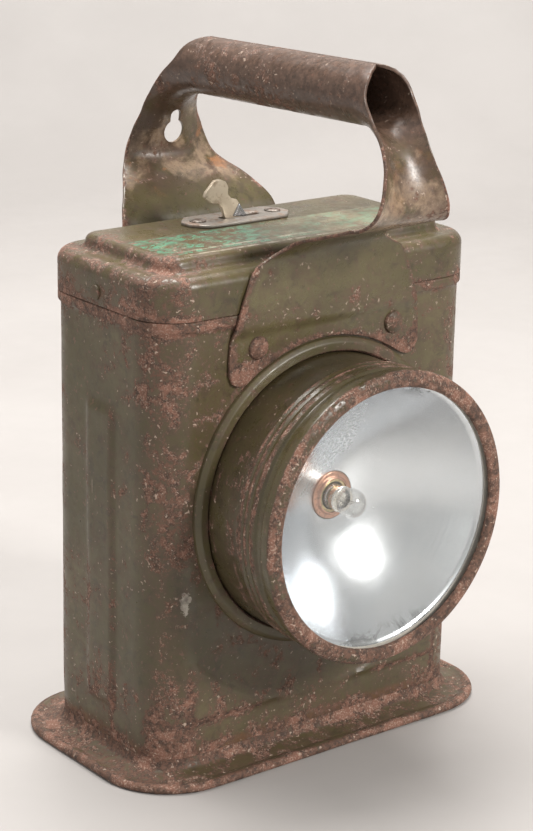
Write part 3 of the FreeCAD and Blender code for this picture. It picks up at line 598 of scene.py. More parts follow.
flange = swept("base_rim", flange_profile, 2.5, flange_wear, flange_shape)
flange_paint = worn_paint("flange_paint", 0.555, 4.0, 0.42, grit=0.60)
finish_piece(flange, "case", "flange_paint", flange_paint, "base_flange")

# ---------------------------------------------------------------- lid
LID_LOW = SEAM + 0.1
LID_WALL = 1.0
CROWN_IN = -14.4                             # where the swept wall ends and the flat crown begins
LID_GAP = 2.5
lid_profile = dense(rounded([
    (BEAD, LID_LOW, 0.3), (BEAD, LEDGE, 4.4), (-8.4, LEDGE, 2.6), (-9.6, CROWN, 2.9), (CROWN_IN, CROWN),
    (CROWN_IN, CROWN - LID_WALL), (-10.2, CROWN - LID_WALL, 1.8), (-9.4, LEDGE - LID_WALL, 3.4),
    (BEAD - LID_WALL, LEDGE - LID_WALL, 3.4), (BEAD - LID_WALL, LID_LOW, 0.3)], turn=9.0), 3.0)


def lid_wear(spot, u, z, c):
    w = 0.22 * c
    w += 0.45 * (1 - ease(LID_LOW + 0.5, LID_LOW + 3.5, z))
    w += 0.22 * math.exp(-((u + 8.5) / 1.5) ** 2) * (z > LEDGE - 1)
    w += 0.14 * math.exp(-((z - 187.5) / 1.6) ** 2) * (u > -3)
    return w


def lid_extra(look):
    """More rust at the left end."""
    x = look.axis("X")
    return look.times(look.step(x, -0.050, -0.078), 0.05)


def lid_tint(look, paint, place):
    """A faded green printed panel: brown curls at the left, thin rubbed lines in front, no lettering."""
    x, y, z = look.axis("X"), look.axis("Y"), look.axis("Z")
    top = look.step(z, 0.1928, 0.1936)
    inside_x = look.times(look.step(x, -0.0600, -0.0590), look.step(x, 0.0560, 0.0540))
    inside_y = look.times(look.step(y, -0.0225, -0.0219), look.step(y, 0.0035, 0.0028))
    zone = look.times(top, inside_x, inside_y)
    flakes = look.noise(170, 7, 0.75, 0.3, place)
    rub = look.noise(34, 4, 0.6, 0.0, place)
    left = look.step(x, 0.004, -0.022)
    worn = look.plus(look.plus(flakes, look.times(rub, 0.4)), look.times(left, 0.10))
    keep = look.step(worn, 0.70, 0.76)
    wash = look.step(look.noise(60, 5, 0.65, 0.2, place), 0.30, 0.62)
    curl = look.noise(165, 1.5, 0.5, 1.6, look.mapped(scale=(0.8, 1.5, 0.0), shift=(0.3, 0.1, 0)))
    curl = look.math("ABSOLUTE", look.minus(curl, 0.50))
    curls = look.step(curl, 0.050, 0.026)
    blobs = look.noise(120, 2, 0.5, 0.5, look.mapped(scale=(1, 1.4, 0), shift=(0.7, 0.4, 0)))
    blobs = look.step(blobs, 0.56, 0.60)
    sandy = look.mix(look.times(zone, wash, 0.50), paint, (0.30, 0.27, 0.17))
    green = look.times(zone, keep, look.plus(look.times(left, 0.58), 0.34))
    color = look.mix(green, sandy, (0.110, 0.350, 0.225))
    marks = look.math("MAXIMUM", curls, look.times(blobs, 0.8))
    color = look.mix(look.times(zone, marks, left, 0.95), color, (0.120, 0.062, 0.030))
    for middle in (-0.0190, -0.0245):
        band = look.math("ABSOLUTE", look.minus(y, middle))
        line = look.times(look.step(band, 0.0009, 0.0005), look.step(flakes, 0.42, 0.50), top)
        line = look.times(line, look.step(x, 0.030, -0.010), look.step(x, -0.056, -0.050))
        color = look.mix(look.times(line, 0.75), color, (0.52, 0.48, 0.38))
    return color


def crown_sheet(rings=7):
    """The flat crown inside the swept wall: nested outlines at two levels, each closed at its middle."""
    ring = outline_ring(LID_GAP)
    count = len(ring)
    half = rings * count + 1
    verts, faces = [], []
    for level in (CROWN, CROWN - LID_WALL):
        for k in range(rings):
            share = 1 - k / rings
            for p, n, _ in ring:
                verts.append(((p.x + n.x * CROWN_IN) * share, (p.y + n.y * CROWN_IN) * share, level))
        verts.append((0.0, 0.0, level))
    for base, order in ((0, 1), (half, -1)):
        for k in range(rings - 1):
            near, far = base + k * count, base + (k + 1) * count
            for i in range(count):
                j = (i + 1) % count
                faces.append((near + i, near + j, far + j, far + i)[::order])
        last = base + (rings - 1) * count
        for i in range(count):
            faces.append((last + i, last + (i + 1) % count, base + half - 1)[::order])
    return make("lid_top", verts, faces, [0.0] * len(verts))


def join_crown(skin, crown):
    """Weld the crown to the wall and delete the wall faces left hidden inside the sheet."""
    def hidden(face):
        level = all(abs(v.co.z - (CROWN - LID_WALL / 2) * MM) < 0.51 * MM for v in face.verts)
        inner = all(abs(v.co.x) < (HALF_W - 14.0) * MM for v in face.verts)
        inner = inner and all(abs(v.co.y) < (HALF_D - 14.0) * MM for v in face.verts)
        return level and inner and abs(face.normal.z) < 0.1

    work = bmesh.new()
    work.from_mesh(skin.data)
    work.from_mesh(crown.data)
    bmesh.ops.remove_doubles(work, verts=work.verts, dist=2e-5)
    bmesh.ops.delete(work, geom=[face for face in work.faces if hidden(face)], context="FACES")
    bmesh.ops.recalc_face_normals(work, faces=work.faces)
    work.to_mesh(skin.data)
    work.free()
    bpy.data.objects.remove(crown)
    skin.data.shade_smooth()
    skin.data.set_sharp_from_angle(angle=math.radians(50))


lid_paint = worn_paint("lid_paint", 0.588, 7.0, 0.28, lid_extra, lid_tint)
lid_skin = swept("lid_skin", lid_profile, LID_GAP, lid_wear)
join_crown(lid_skin, crown_sheet())
slot_points = [(PIVOT_X - 9, SWITCH_Y - 2, 1.9), (PIVOT_X + 9, SWITCH_Y - 2, 1.9),
               (PIVOT_X + 9, SWITCH_Y + 2, 1.9), (PIVOT_X - 9, SWITCH_Y + 2, 1.9)]


def slot_tool():
    """The slot that the lever passes through."""
    return slab("tool", slot_points, CROWN - 5, CROWN + 5, lambda a, b, level: (a, b, level), 0)


cut(lid_skin, slot_tool())
finish_piece(lid_skin, "lid", "lid_paint", lid_paint, "lid_shell")

# ---------------------------------------------------------------- lens side
def drum_wear(along, radius, angle):
    if radius <= 52:
        return 0.3
    return 0.25 * ease(-45, -56, along) + 0.25 * ease(-42, -38, along)


drum = turned("drum_skin", dense(rounded([
    (DRUM_BACK, 50.4), (DRUM_BACK, 55.9), (DRUM_BACK - 1.1, 55.9), (DRUM_BACK - 1.1, DRUM_R, 0.3),
    (DRUM_FRONT, DRUM_R, 0.5), (DRUM_FRONT, THREAD_R, 0.3), (-71.5, THREAD_R, 0.3), (-71.5, 50.4)]), 2.5),
    192, drum_wear, wobble=0.12)
drum_paint = worn_paint("drum_paint", 0.605, 12.0, 0.28, brown=0.12, ring=0.05, dark=0.78)
finish_piece(drum, "case", "drum_paint", drum_paint, "lens_drum")

collar = turned("collar_skin", rounded([
    (-36.9, 53.25, 0.2), (-36.9, 58.6), (-38.2, 58.4, 1.0), (-39.5, 56.8, 1.6), (-39.5, 53.9, 0.6),
    (-38.5, 53.25, 0.4)], turn=9), 192, lambda a, r, t: 0.15 + 0.8 * ease(54.4, 53.6, r), wobble=0.1)
finish_piece(collar, "case", "collar_paint", worn_paint("collar_paint", 0.590, 15.0, 0.36), "drum_collar")

BORE = 52.05                                 # inside of the screwed ring
RIB_TOP, RIB_DIP = 54.1, 53.4                # its grip ribs
RING_R = 54.8
ring_line = [(DRUM_FRONT - 0.3, BORE), (DRUM_FRONT - 0.3, 53.5, 0.4), (DRUM_FRONT - 1.4, RIB_TOP, 0.8)]
for rib in range(2):
    dip = DRUM_FRONT - 2.9 - 3.2 * rib
    ring_line += [(dip, RIB_DIP, 0.9), (dip - 1.6, RIB_TOP, 0.9)]
ring_line += [
    (DRUM_FRONT - 9.4, 53.8, 0.9), (DRUM_FRONT - 10.4, BORE + 0.75, 1.0),
    (DRUM_FRONT - 13.6, BORE + 0.75, 1.2), (DRUM_FRONT - 14.6, RING_R, 1.3), (RING_FRONT + 1.2, RING_R, 1.8),
    (RING_FRONT, 52.2, 1.8), (RING_FRONT, 49.5, 1.5), (-74.6, 48.1, 0.6), (-74.55, 51.9), (-70.1, BORE)]


def ring_wear(along, radius, angle):
    w = 0.95 * ease(-73.8, -75.3, along)
    w += 0.75 * (along > DRUM_FRONT - 9.6) * ease(53.45, 54.0, radius)
    w += 0.35 * ease(52.5, 49.0, radius)
    return w


ring_skin = turned("ring_skin", dense(rounded(ring_line, turn=9), 2.0), 224, ring_wear, wobble=0.10)
ring_paint = worn_paint("ring_paint", 0.585, 18.0, 0.26, brown=0.10, ring=0.07, grit=0.62, dark=0.85)
finish_piece(ring_skin, "lens_ring", "ring_paint", ring_paint, "lens_ring")

FOCUS, MOUTH, THROAT = 19.6, 48.5, 9.3       # the bowl is a parabola between its throat and its mouth


def bowl_profile(steps=32, sheet=0.55):
    """The bowl's section: front, rolled edge and back."""
    deep = -BOWL_FRONT - MOUTH * MOUTH / (4 * FOCUS)
    front = []
    for k in range(steps + 1):
        r = THROAT + (MOUTH - THROAT) * k / steps
        front.append((-(deep + r * r / (4 * FOCUS)), r))
    back = [(along + sheet, r + 0.1) for along, r in front[::-1]]
    back[0] = (BOWL_FRONT + sheet, 48.9)
    return front + [(BOWL_FRONT, 51.2), (BOWL_FRONT + sheet, 51.2)] + back


reflector = turned("reflector_bowl", bowl_profile(), 192, sharp=60)


def mirror_look():
    """Silver brushed in rings round the axis, spotted at the upper left and stained at its edge."""
    look = Look("mirror_silver")
    x, z = look.axis("X"), look.minus(look.axis("Z"), LENS_Z * MM)
    radius = look.reach(x, z)
    rings = look.noise(1400, 5, 0.75, 0.0, look.node("CombineXYZ", X=radius).outputs[0])
    cloud = look.noise(30, 6, 0.65, 0.4, look.mapped(shift=(2, 0, 5)))
    grit = look.noise(900, 5, 0.75, 0.0)
    x_side = look.step(x, 0.012, -0.012)
    upper = look.times(look.step(z, -0.002, 0.012), x_side)
    spot = look.times(look.step(cloud, 0.46, 0.62), look.step(grit, 0.44, 0.62))
    spot = look.times(spot, look.plus(0.12, look.times(upper, 0.88)))
    edge = look.step(radius, 0.0430, 0.0485)
    stain = look.times(look.step(look.noise(90, 6, 0.7, 0.5), 0.50, 0.60), edge)
    corner = look.plus(look.step(z, 0.022, 0.036), look.step(z, -0.038, -0.046))
    stain = look.times(stain, corner)
    color = look.mix(look.times(spot, 0.42), (0.77, 0.80, 0.84), (0.34, 0.35, 0.33))
    color = look.mix(look.times(stain, 0.7), color, (0.16, 0.17, 0.17))
    haze = look.span(cloud, 0.3, 0.7, 0.17, 0.25)
    rough = look.plus(haze, look.times(spot, 0.25))
    normal = look.bump(rings, 0.35, 0.00014)
    brush = look.node("Tangent")
    brush.direction_type = "RADIAL"
    brush.axis = "Y"
    look.link(brush.outputs[0], look.shader.inputs["Tangent"])
    look.link(look.span(rings, 0.3, 0.7, 0.45, 0.65), look.shader.inputs["Anisotropic"])
    return look.done(color, rough, normal, 0.95)


finish_piece(reflector, "case", "mirror_silver", mirror_look(), "reflector")

copper = metal("copper", (0.56, 0.31, 0.22), (0.30, 0.17, 0.12), 0.34, 2.0, 0.56, 500.0)
copper_ring = turned("copper_ring", rounded([
    (-40.5, 6.4), (-40.5, 9.1, 0.3), (-43.7, 9.1, 0.6), (-43.7, 7.4, 0.5), (-44.7, 6.9, 0.4), (-44.7, 6.4)],
    turn=12), 96)
finish_piece(copper_ring, "case", "copper", copper, "reflector_collar")

brass = metal("brass_dull", (0.62, 0.50, 0.27), (0.30, 0.22, 0.12), 0.32, 3.0, 0.55, 420.0)
cap_line = [(-33.4, 0.0), (-33.4, 3.4, 0.4), (-35.0, 4.7, 0.4)]
for k in range(5):
    cap_line += [(-36.0 - 2.1 * k, 4.75, 0.5), (-37.05 - 2.1 * k, 4.25, 0.5)]
cap_line += [
    (-46.6, 4.7, 0.3), (-48.6, 4.75, 0.3), (-49.2, 5.1, 0.3), (-49.9, 4.5, 0.2), (-49.9, 3.35), (-48.9, 3.35),
    (-48.6, 2.6, 0.4), (-48.2, 0.0)]
bulb_metal = metal("bulb_cap_metal", (0.82, 0.79, 0.74), (0.60, 0.54, 0.45), 0.22, 6.0, 0.62, 600.0)
bulb_cap = turned("bulb_cap_skin", rounded(cap_line, False, 15), 64, closed=False)
finish_piece(bulb_cap, "case", "brass_dull", bulb_metal, "bulb_cap")


def clear_glass(name, tint, dust, shine, power):
    """Thin clear glass: light goes straight through or mirrors by angle, with a trace of dust."""
    look = Look(name)
    look.tree.nodes.remove(look.shader)
    smear = look.noise(45, 5, 0.6, 0.4)
    normal = look.bump(look.noise(900, 3, 0.5), 0.04, 0.0001)
    clear = look.node("BsdfTransparent", Color=tint + (1.0,))
    gloss = look.node("BsdfGlossy", Roughness=look.span(smear, 0.35, 0.7, 0.02, 0.10), Normal=normal)
    film = look.node("BsdfDiffuse", Color=(0.75, 0.74, 0.71, 1.0))
    facing = look.node("LayerWeight", Blend=0.5).outputs["Facing"]
    bend = look.plus(shine, look.times(look.math("POWER", facing, power), 0.9))
    glass = look.blend(bend, clear.outputs[0], gloss.outputs[0])
    dusty = look.blend(look.times(look.step(smear, 0.35, 0.75), dust), glass, film.outputs[0])
    look.link(dusty, look.tree.nodes["Material Output"].inputs["Surface"])
    return look.material


lens = turned("lens_pane", rounded([(-72.7, 0.0), (-72.7, 51.5, 0.3), (-74.5, 51.5, 0.3), (-74.5, 0.0)]), 128,
              closed=False, sharp=30)
lens_clear = clear_glass("lens_clear", (0.985, 0.99, 0.985), 0.05, 0.04, 5.0)
finish_piece(lens, "lens_pack", "lens_glass", lens_clear, "lens_glass")


def glass_bulb():
    """An outer and an inner skin of glass in one mesh."""
    outside = [(-60.0, 0.0), (-60.0, 5.5, 5.4), (-52.6, 5.5, 2.4), (-50.2, 3.1, 1.5), (-46.0, 3.1, 0.5),
               (-46.0, 0.0)]
    inside = [(-47.5, 0.0), (-47.5, 2.6, 0.4), (-50.1, 2.6, 1.3), (-52.8, 5.0, 2.0), (-59.5, 5.0, 4.9),
              (-59.5, 0.0)]
    globe = turned("bulb_glass_skin", rounded(outside, False, 8), 96, closed=False, sharp=60)
    inner = turned("tool", rounded(inside, False, 8), 96, closed=False, sharp=60)
    work = bmesh.new()
    work.from_mesh(globe.data)
    work.from_mesh(inner.data)
    work.to_mesh(globe.data)
    work.free()
    bpy.data.objects.remove(inner)
    globe.data.shade_smooth()
    return globe


bulb_clear = clear_glass("bulb_clear", (0.985, 0.985, 0.98), 0.02, 0.07, 3.0)
finish_piece(glass_bulb(), "case", "bulb_glass", bulb_clear, "bulb_globe")

# ---------------------------------------------------------------- handle
COLS = 56                                    # quads across the sheet
ACROSS = [-1 + 2 * j / COLS for j in range(COLS + 1)]
STRAP_ROWS, FOOT_ROWS, TUBE_ROWS = 118, 30, 40
TUBE_R = GRIP_R - SHEET / 2 - 0.04           # middle of the sheet
TUBE_ARC = math.pi * TUBE_R
TUBE_FRONT, TUBE_REAR = -57.0, 32.0
SLIT = 0.012                                 # gap left where the tube's edges meet, in radians


def settle(chord, values, spots):
    """Smooth curve through the values that never swings past them."""
    gaps, steps = np.diff(chord), np.diff(values)
    slope = steps / gaps
    tilt = np.zeros(len(values))
    for i in range(1, len(values) - 1):
        if slope[i - 1] * slope[i] > 0:
            tilt[i] = 2 * slope[i - 1] * slope[i] / (slope[i - 1] + slope[i])
    out = []
    for s in spots:
        i = min(len(gaps) - 1, int(np.searchsorted(chord, s, side="right")) - 1)
        t, d = (s - chord[i]) / gaps[i], gaps[i]
        out.append((2 * t ** 3 - 3 * t * t + 1) * values[i] + (t ** 3 - 2 * t * t + t) * d * tilt[i]
                   + (3 * t * t - 2 * t ** 3) * values[i + 1] + (t ** 3 - t * t) * d * tilt[i + 1])
    return np.array(out)


def strap_rows(knots, steps):
    """Rows of the bent sheet and its direction: knots are (y, z, half arc length, bend) along its middle."""
    rows = spline(knots, steps)
    pts = np.array(knots, float)
    chord = np.concatenate([[0.0], np.cumsum(np.linalg.norm(np.diff(pts[:, :2], axis=0), axis=1))])
    for column in (2, 3):
        rows[:, column] = settle(chord, pts[:, column], np.linspace(0, chord[-1], steps))
    tang = np.gradient(rows[:, :2], axis=0)
    tang /= np.linalg.norm(tang, axis=1)[:, None]
    return rows, tang


def sole(y):
    """Height of the tube's underside, which falls a little towards the rear."""
    return 250.45 - TUBE_R - (y + 60.2) * 2.3 / 95


def lens_arc(x):
    reach = 59.3
    return LENS_Z + math.sqrt(max(0.0, reach * reach - x * x))


def foot(x):
    """Lower edge of a foot plate: the arc round the lens, then a rounded tip."""
    x = abs(x)
    tip, radius, soft_by = 147.0, 5.0, 1.1
    edge = FOOT_HALF - radius
    if x > edge:
        tip += radius - math.sqrt(max(0.0, radius * radius - min(radius, x - edge) ** 2))
    return tip + math.log1p(math.exp((lens_arc(x) - tip) / soft_by)) * soft_by


def plate_half(z):
    """Half the width of a foot plate at a height."""
    heights = [147, 156, 163.6, 170.5, 179, 187.6, 191.3, 195]
    halves = [FOOT_HALF, 44.1, 43.6, 41.5, 38.8, 35.2, 31.0, 25.0]
    return float(np.interp(z, heights, halves))


def plate_y(z):
    """Middle of the foot plate's sheet, which steps out over the seam bead."""
    return 37.55 + 1.35 * ease(164.5, 168.5, z)


def arc_point(u, half_arc, bend):
    """Across and rise of the sheet at u, from -1 to 1, where bend is 1 / radius of its trough."""
    if bend < 1e-4:
        return u * half_arc, 0.0
    arc = u * min(half_arc, (math.pi - SLIT) / bend)
    return math.sin(arc * bend) / bend, (1 - math.cos(arc * bend)) / bend


def strap_part(sign, knots):
    """Rows of points with their u, from the grip down one strap to the tip of its foot plate."""
    rows, tang = strap_rows(knots, STRAP_ROWS)
    part = []
    for (y, z, half_arc, bend), (ty, tz) in zip(rows, tang):
        row = []
        for u in ACROSS:
            x, rise = arc_point(u, half_arc, bend)
            row.append(((x, y - sign * tz * rise, z + sign * ty * rise), u))
        part.append(row)
    last = rows[-1][1]
    for i in range(1, FOOT_ROWS + 1):
        row = []
        for u in ACROSS:
            z = last - i / FOOT_ROWS * (last - foot(u * FOOT_HALF))
            row.append(((u * plate_half(z), sign * plate_y(z), z), u))
        part.append(row)
    return part


def tube_part():
    """Rows of the grip tube between its two ends."""
    part = []
    for i in range(1, TUBE_ROWS):
        y = TUBE_FRONT + (TUBE_REAR - TUBE_FRONT) * i / TUBE_ROWS
        row = []
        for u in ACROSS:
            x, rise = arc_point(u, TUBE_ARC, 1 / TUBE_R)
            row.append(((x, y, sole(y) + rise), u))
        part.append(row)
    return part


def handle_wear(x, z, u):
    """Worn edges, feet and the step over the seam, and a little more wear upwards."""
    w = 0.65 * ease(0.90, 0.99, abs(u)) * (z < 236)
    w += 0.75 * (1 - ease(153, 166, z)) + 0.30 * ease(166, 170, z) * (1 - ease(172, 178, z))
    w += 0.14 * ease(233, 241, z)
    w += 0.5 * math.exp(-((z - foot(x)) / 2.2) ** 2) * (z < 166)
    w += 0.22 * ease(196, 206, z)
    return w


def build_handle():
    """One ribbon of sheet: front foot, front strap, tube, rear strap, rear foot."""
    # each knot is (y, z, half arc length, 1 / radius of the trough)
    front_knots = [(y, sole(y), TUBE_ARC, 1 / TUBE_R) for y in (TUBE_FRONT, -60.2)]
    front_knots += [
        (-61.4, 240.1, 28.0, 0.097), (-63.4, 239.7, 20.8, 0.095), (-65.4, 239.1, 16.3, 0.092),
        (-67.4, 238.0, 14.3, 0.088), (-70.7, 235.6, 12.5, 0.081), (-73.6, 232.0, 12.0, 0.072),
        (-76.0, 227.6, 12.5, 0.060), (-77.8, 223.0, 13.9, 0.046), (-79.1, 218.3, 15.3, 0.034),
        (-79.2, 213.6, 17.2, 0.021), (-76.9, 209.8, 19.4, 0.009), (-71.7, 206.9, 20.3, 0.0),
        (-64.0, 204.3, 20.7, 0.0), (-55.5, 201.6, 21.6, 0.0), (-47.5, 199.0, 21.7, 0.0),
        (-42.2, 196.3, 22.4, 0.0), (-39.6, 193.0, 27.6, 0.0), (-38.9, 189.0, 34.0, 0.0)]
    rear_knots = [(y, sole(y), TUBE_ARC, 1 / TUBE_R) for y in (TUBE_REAR, 35.0)]
    rear_knots += [
        (36.6, sole(36.6), 27.6, 0.0965), (39.4, 237.5, 21.0, 0.093), (45.0, 236.5, 16.6, 0.087),
        (49.8, 234.5, 14.4, 0.078), (53.8, 231.6, 13.4, 0.066), (56.2, 227.8, 13.9, 0.054),
        (57.2, 222.6, 16.3, 0.041), (58.3, 217.0, 18.2, 0.028), (58.9, 211.8, 20.5, 0.013),
        (56.1, 207.2, 24.2, 0.005), (51.0, 203.0, 28.0, 0.001), (46.6, 199.0, 31.2, 0.0),
        (43.0, 195.4, 34.0, 0.0), (40.4, 192.0, 35.6, 0.0), (38.95, 188.0, 36.4, 0.0)]
    rows = strap_part(-1, front_knots)[::-1] + tube_part() + strap_part(1, rear_knots)
    verts = [spot for row in rows for spot, _ in row]
    values = [handle_wear(x, z, u) for row in rows for (x, _, z), u in row]
    faces = []
    for i in range(len(rows) - 1):
        for j in range(COLS):
            a = i * (COLS + 1) + j
            faces.append((a, a + 1, a + COLS + 2, a + COLS + 1))
    return make("handle_sheet", verts, faces, values)


handle = build_handle()
thick = handle.modifiers.new("sheet", "SOLIDIFY")
thick.thickness = SHEET * MM
thick.offset = 0.0
thick.use_even_offset = False
soft = handle.modifiers.new("soft", "BEVEL")
soft.width = 0.3 * MM
soft.segments = 2
soft.limit_method = "ANGLE"
soft.angle_limit = math.radians(50)
apply_modifiers(handle)
orient(handle)
KEY_Z, KEY_R, KEY_HALF, KEY_TOP = 220.0, 4.5, 2.3, 228.5
key_points = [(-KEY_HALF, KEY_Z + 1), (KEY_HALF, KEY_Z + 1), (KEY_HALF, KEY_TOP, 2.2),
              (-KEY_HALF, KEY_TOP, 2.2)]
cut(handle, cylinder("tool", KEY_R, (0, 60, KEY_Z), (0, 1, 0), 30.0, 64))
cut(handle, slab("tool", key_points, 50.0, 72.0, lambda a, b, level: (a, level, b), 0))
handle.data.shade_smooth()
handle.data.set_sharp_from_angle(angle=math.radians(50))


def handle_tint(look, paint, place):
    """Brown grip, straps rubbed pale and brown, and a few orange patches."""
    y, z = look.axis("Y"), look.axis("Z")
    high = look.step(z, 0.196, 0.206)
    grip = look.step(z, 0.230, 0.241)
    cloud = look.step(look.noise(48, 5, 0.6, 0.3, place), 0.40, 0.60)
    paint = look.mix(look.times(high, look.plus(0.15, look.times(cloud, 0.70))), paint,
                     (0.105, 0.062, 0.044))
    rub = look.noise(60, 6, 0.68, 0.3, look.mapped(shift=(4, 1, 2)))
    spread = look.step(look.math("ABSOLUTE", look.minus(z, 0.214)), 0.018, 0.004)
    bare = look.times(look.step(look.plus(rub, look.times(spread, 0.12)), 0.53, 0.67), high)
    paint = look.mix(look.times(bare, 0.72), paint, (0.40, 0.29, 0.20))
    orange = look.step(look.noise(85, 5, 0.65, 0.2, look.mapped(shift=(9, 5, 2))), 0.57, 0.66)
    orange = look.times(look.times(orange, high), look.plus(0.3, look.step(y, 0.0, 0.03)))
    paint = look.mix(look.times(orange, 0.60), paint, (0.32, 0.15, 0.065))
    fine = look.step(look.noise(380, 6, 0.75, 0.0, place), 0.40, 0.62)
    skin = look.mix(fine, (0.068, 0.042, 0.032), (0.150, 0.092, 0.068))
    return look.mix(look.times(grip, 0.92), paint, skin)


handle_paint = worn_paint("handle_paint", 0.600, 22.0, 0.27, None, handle_tint)
finish_piece(handle, "case", "handle_paint", handle_paint, "handle")

rivet_paint = worn_paint("rivet_paint", 0.50, 26.0, 0.45)
rivet_line = [(34.7, 0.0), (34.7, 3.6, 0.5), (35.9, 3.6), (35.9, 2.4), (38.1, 2.4), (38.1, 4.4, 0.2),
              (39.1, 4.0, 1.0), (39.9, 1.6, 2.0), (39.9, 0.0)]
for word, x in (("left", -RIVET_X), ("right", RIVET_X)):
    for where, sign in (("front", -1), ("rear", 1)):
        line = [(sign * point[0],) + point[1:] for point in rivet_line]
        rivet = turned("rivet_%s_%s_skin" % (where, word), rounded(line, False, 12), 40, lambda a, r, t: 0.3,
                       (x, 0.0, RIVET_Z), closed=False, sharp=60)
        finish_piece(rivet, "case", "rivet_paint", rivet_paint, "rivet_%s_%s" % (where, word))

# ---------------------------------------------------------------- switch
PLATE_UP = 1.3
plate_points = [(-23.0, -3.0, 2.0), (-18.0, -8.5, 3.0), (18.0, -8.5, 3.0), (23.0, -3.0, 2.0),
                (23.0, 3.0, 2.0), (18.0, 8.5, 3.0), (-18.0, 8.5, 3.0), (-23.0, 3.0, 2.0)]
plate = slab("switch_cover", plate_points, CROWN, CROWN + PLATE_UP,
             lambda a, b, level: (SWITCH_X + a, SWITCH_Y + b, level), 0.45, [slot_tool()])
plate_look = metal("switch_plate_steel", (0.30, 0.275, 0.245), (0.24, 0.17, 0.13), 0.38, 4.0, 0.54, 260.0,
                   0.55)
finish_piece(plate, "lid", "switch_plate_steel", plate_look, "switch_plate")
screw_look = metal("screw_steel", (0.30, 0.27, 0.24), (0.13, 0.085, 0.065), 0.40, 9.0, 0.5, 500.0, 0.8)
screw_line = [(-4.5, 0.0), (-4.5, 1.6, 0.3), (PLATE_UP, 1.6), (PLATE_UP, 3.2, 0.2), (1.75, 3.1, 0.4),
              (2.05, 1.6, 1.5), (2.05, 0.0)]
for word, side in (("left", -1), ("right", 1)):
    x = SWITCH_X + side * 17.4
    screw = turned("switch_screw_%s_skin" % word, rounded(screw_line, False, 12), 40, None,
                   (x, SWITCH_Y, CROWN), "z", False, 60)
    cut(screw, block("tool", (x - 4, SWITCH_Y - 0.35, CROWN + 1.55), (x + 4, SWITCH_Y + 0.35, CROWN + 4)))
    screw.data.shade_smooth()
    screw.data.set_sharp_from_angle(angle=math.radians(40))
    finish_piece(screw, "lid", "screw_steel", screw_look, "switch_screw_%s" % word)

lever_points = [
    (-2.6, -2.6, 2.4), (2.6, -2.6, 2.4), (3.6, 6.5, 1.5), (0.3, 10.8, 2.0), (-1.4, 13.4, 1.0),
    (-3.9, 14.0, 0.8), (-5.6, 15.8, 0.8), (-5.4, 18.4, 1.2), (-6.6, 20.6, 1.2), (-9.2, 21.8, 1.2),
    (-11.8, 21.5, 1.2),
    (-15.8, 17.5, 0.8), (-16.4, 15.7, 0.8), (-13.2, 13.2, 0.8), (-9.6, 12.5, 1.0), (-8.2, 10.6, 0.8),
    (-7.3, 7.9, 1.2), (-4.5, 2.0, 2.0)]
lever = slab("lever_blade", lever_points, -0.8, 0.8,
             lambda a, b, level: (PIVOT_X + a, SWITCH_Y + level, PIVOT_Z + b), 0.3,
             [cylinder("tool", 1.26, (PIVOT_X, SWITCH_Y, PIVOT_Z), (0, 1, 0), 6.0, 48)])
lug = slab("lug", [(-3.4, 7.4), (3.3, 6.6), (0.3, 10.6), (-0.6, 12.0)], 0.6, 1.3,
           lambda a, b, level: (PIVOT_X + a, SWITCH_Y - level, PIVOT_Z + b), 0.2)
lug_look = metal("lug_steel", (0.36, 0.37, 0.39), (0.24, 0.23, 0.22), 0.26, 3.0, 0.58, 420.0, 0.9)
finish_piece(lug, "switch_lever", "nickel_tan", lug_look, "switch_lever")
lever_look = metal("nickel_tan", (0.56, 0.48, 0.37), (0.36, 0.28, 0.20), 0.40, 5.0, 0.60, 380.0, 0.55)
finish_piece(lever, "switch_lever", "nickel_tan", lever_look, "switch_lever")

# ---------------------------------------------------------------- carried-over CAD nodes
looks = {
    "floor_paint": worn_paint("floor_paint", 0.53, 30.0, 0.5),
    "screw_steel": screw_look,
    "fibre": matte("fibre", (0.23, 0.085, 0.06), (0.16, 0.06, 0.045), 0.62),
    "black_plastic": matte("black_plastic", (0.03, 0.03, 0.032), (0.05, 0.048, 0.045), 0.42),
    "brass_dull": brass,
    # the gasket is painted pale grey instead of rubber black: painted light that lifts the shaded gap between
    # the lens glass and the reflector's rim
    "gasket_rubber": matte("gasket_rubber", (0.55, 0.51, 0.46), (0.64, 0.60, 0.54), 0.75),
    "cell_jacket": matte("cell_jacket", (0.42, 0.27, 0.13), (0.30, 0.18, 0.09), 0.6, 90.0),
    "pitch": matte("pitch", (0.02, 0.02, 0.02), (0.035, 0.033, 0.03), 0.3, 160.0),
    "carbon": matte("carbon", (0.03, 0.03, 0.032), (0.05, 0.05, 0.05), 0.5),
    "zinc": metal("zinc", (0.52, 0.54, 0.56), (0.32, 0.33, 0.33), 0.4, 8.0),
    "filament_wire": metal("filament_wire", (0.40, 0.39, 0.38), (0.24, 0.23, 0.22), 0.4, 1.0),
}
slot_of = {item["node"]: item["material_slot"] for item in frame["record"]["subparts"]}
for name, node in frame["nodes"].items():
    look = rivet_paint if name.startswith("lid_stud") else looks.get(slot_of.get(name))
    if look is None:
        continue
    if not node.data.materials:
        node.data.materials.append(look)
    for index in range(len(node.data.materials)):
        node.data.materials[index] = look

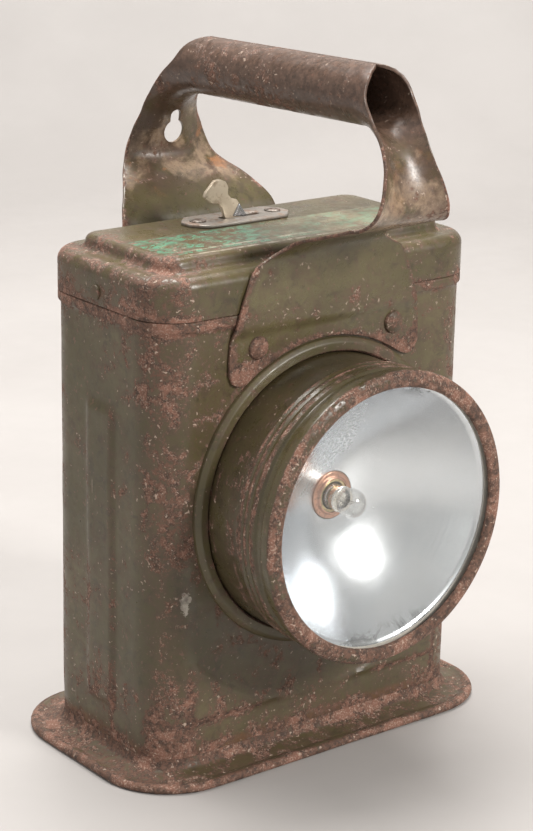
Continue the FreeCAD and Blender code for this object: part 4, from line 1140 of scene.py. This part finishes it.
# ---------------------------------------------------------------- stage, light, camera
def pale_floor():
    """A floor that curves up into a backdrop behind the lamp, square to the camera."""
    turn = Matrix.Rotation(math.radians(-38.05), 2)
    angles = [math.pi / 2 * k / 24 for k in range(25)]
    curve = [(900.0 + 500 * math.sin(a), 500 - 500 * math.cos(a)) for a in angles]
    line = [(-2600.0, 0.0)] + curve + [(1400.0, 3200.0)]
    verts = []
    for x in (-3200.0, 3200.0):
        for y, z in line:
            spot = turn @ Vector((x, y))
            verts.append((spot.x, spot.y, z))
    count = len(line)
    faces = [(i, i + 1, count + i + 1, count + i) for i in range(count - 1)]
    floor = make("floor", verts, faces)
    pale = matte("pale_floor", (0.385, 0.370, 0.360), (0.415, 0.400, 0.390), 0.45, 3.0, 2.0, 0.02)
    floor.data.materials.append(pale)


def area_light(name, place, target, size, power, color):
    data = bpy.data.lights.new(name, "AREA")
    data.shape = "RECTANGLE"
    data.size, data.size_y = size
    data.energy = power
    data.color = color
    lamp = bpy.data.objects.new(name, data)
    lamp.location = place
    aim = Vector(target) - Vector(place)
    lamp.rotation_euler = aim.to_track_quat("-Z", "Y").to_euler()
    bpy.context.collection.objects.link(lamp)


def place_camera():
    az, el, roll = math.radians(-38.065), math.radians(17.635), math.radians(1.022)
    back_axis = Vector((math.sin(az) * math.cos(el), -math.cos(az) * math.cos(el), math.sin(el)))
    right_axis = Vector((math.cos(az), math.sin(az), 0))
    up_axis = back_axis.cross(right_axis)
    rolled_right = right_axis * math.cos(roll) + up_axis * math.sin(roll)
    rolled_up = -right_axis * math.sin(roll) + up_axis * math.cos(roll)
    data = bpy.data.cameras.new("camera")
    data.lens = 99.23
    data.shift_x = 0.0060
    data.shift_y = 0.01265
    data.clip_start = 0.05
    camera = bpy.data.objects.new("camera", data)
    bpy.context.collection.objects.link(camera)
    camera.matrix_world = Matrix((rolled_right, rolled_up, back_axis)).transposed().to_4x4()
    camera.location = (-0.5116, -0.6539, 0.3796)
    bpy.context.scene.camera = camera


pale_floor()
area_light("key", (0.47, -1.42, 0.94), (0, 0, 0.12), (0.34, 0.40), 24, (1.0, 0.965, 0.93))
area_light("left_fill", (-1.7, -0.2, 0.9), (0, 0, 0.12), (3.0, 2.2), 6.0, (1.0, 0.97, 0.93))
area_light("top", (0.1, 0.40, 1.5), (0, 0, 0.2), (1.2, 0.8), 43, (1.0, 0.97, 0.94))
world = bpy.data.worlds.new("studio")
world.use_nodes = True
sky = world.node_tree.nodes["Background"]
sky.inputs["Color"].default_value = (1.0, 0.97, 0.935, 1)
sky.inputs["Strength"].default_value = 0.52
bpy.context.scene.world = world
place_camera()
bpy.context.scene.view_settings.view_transform = "Standard"
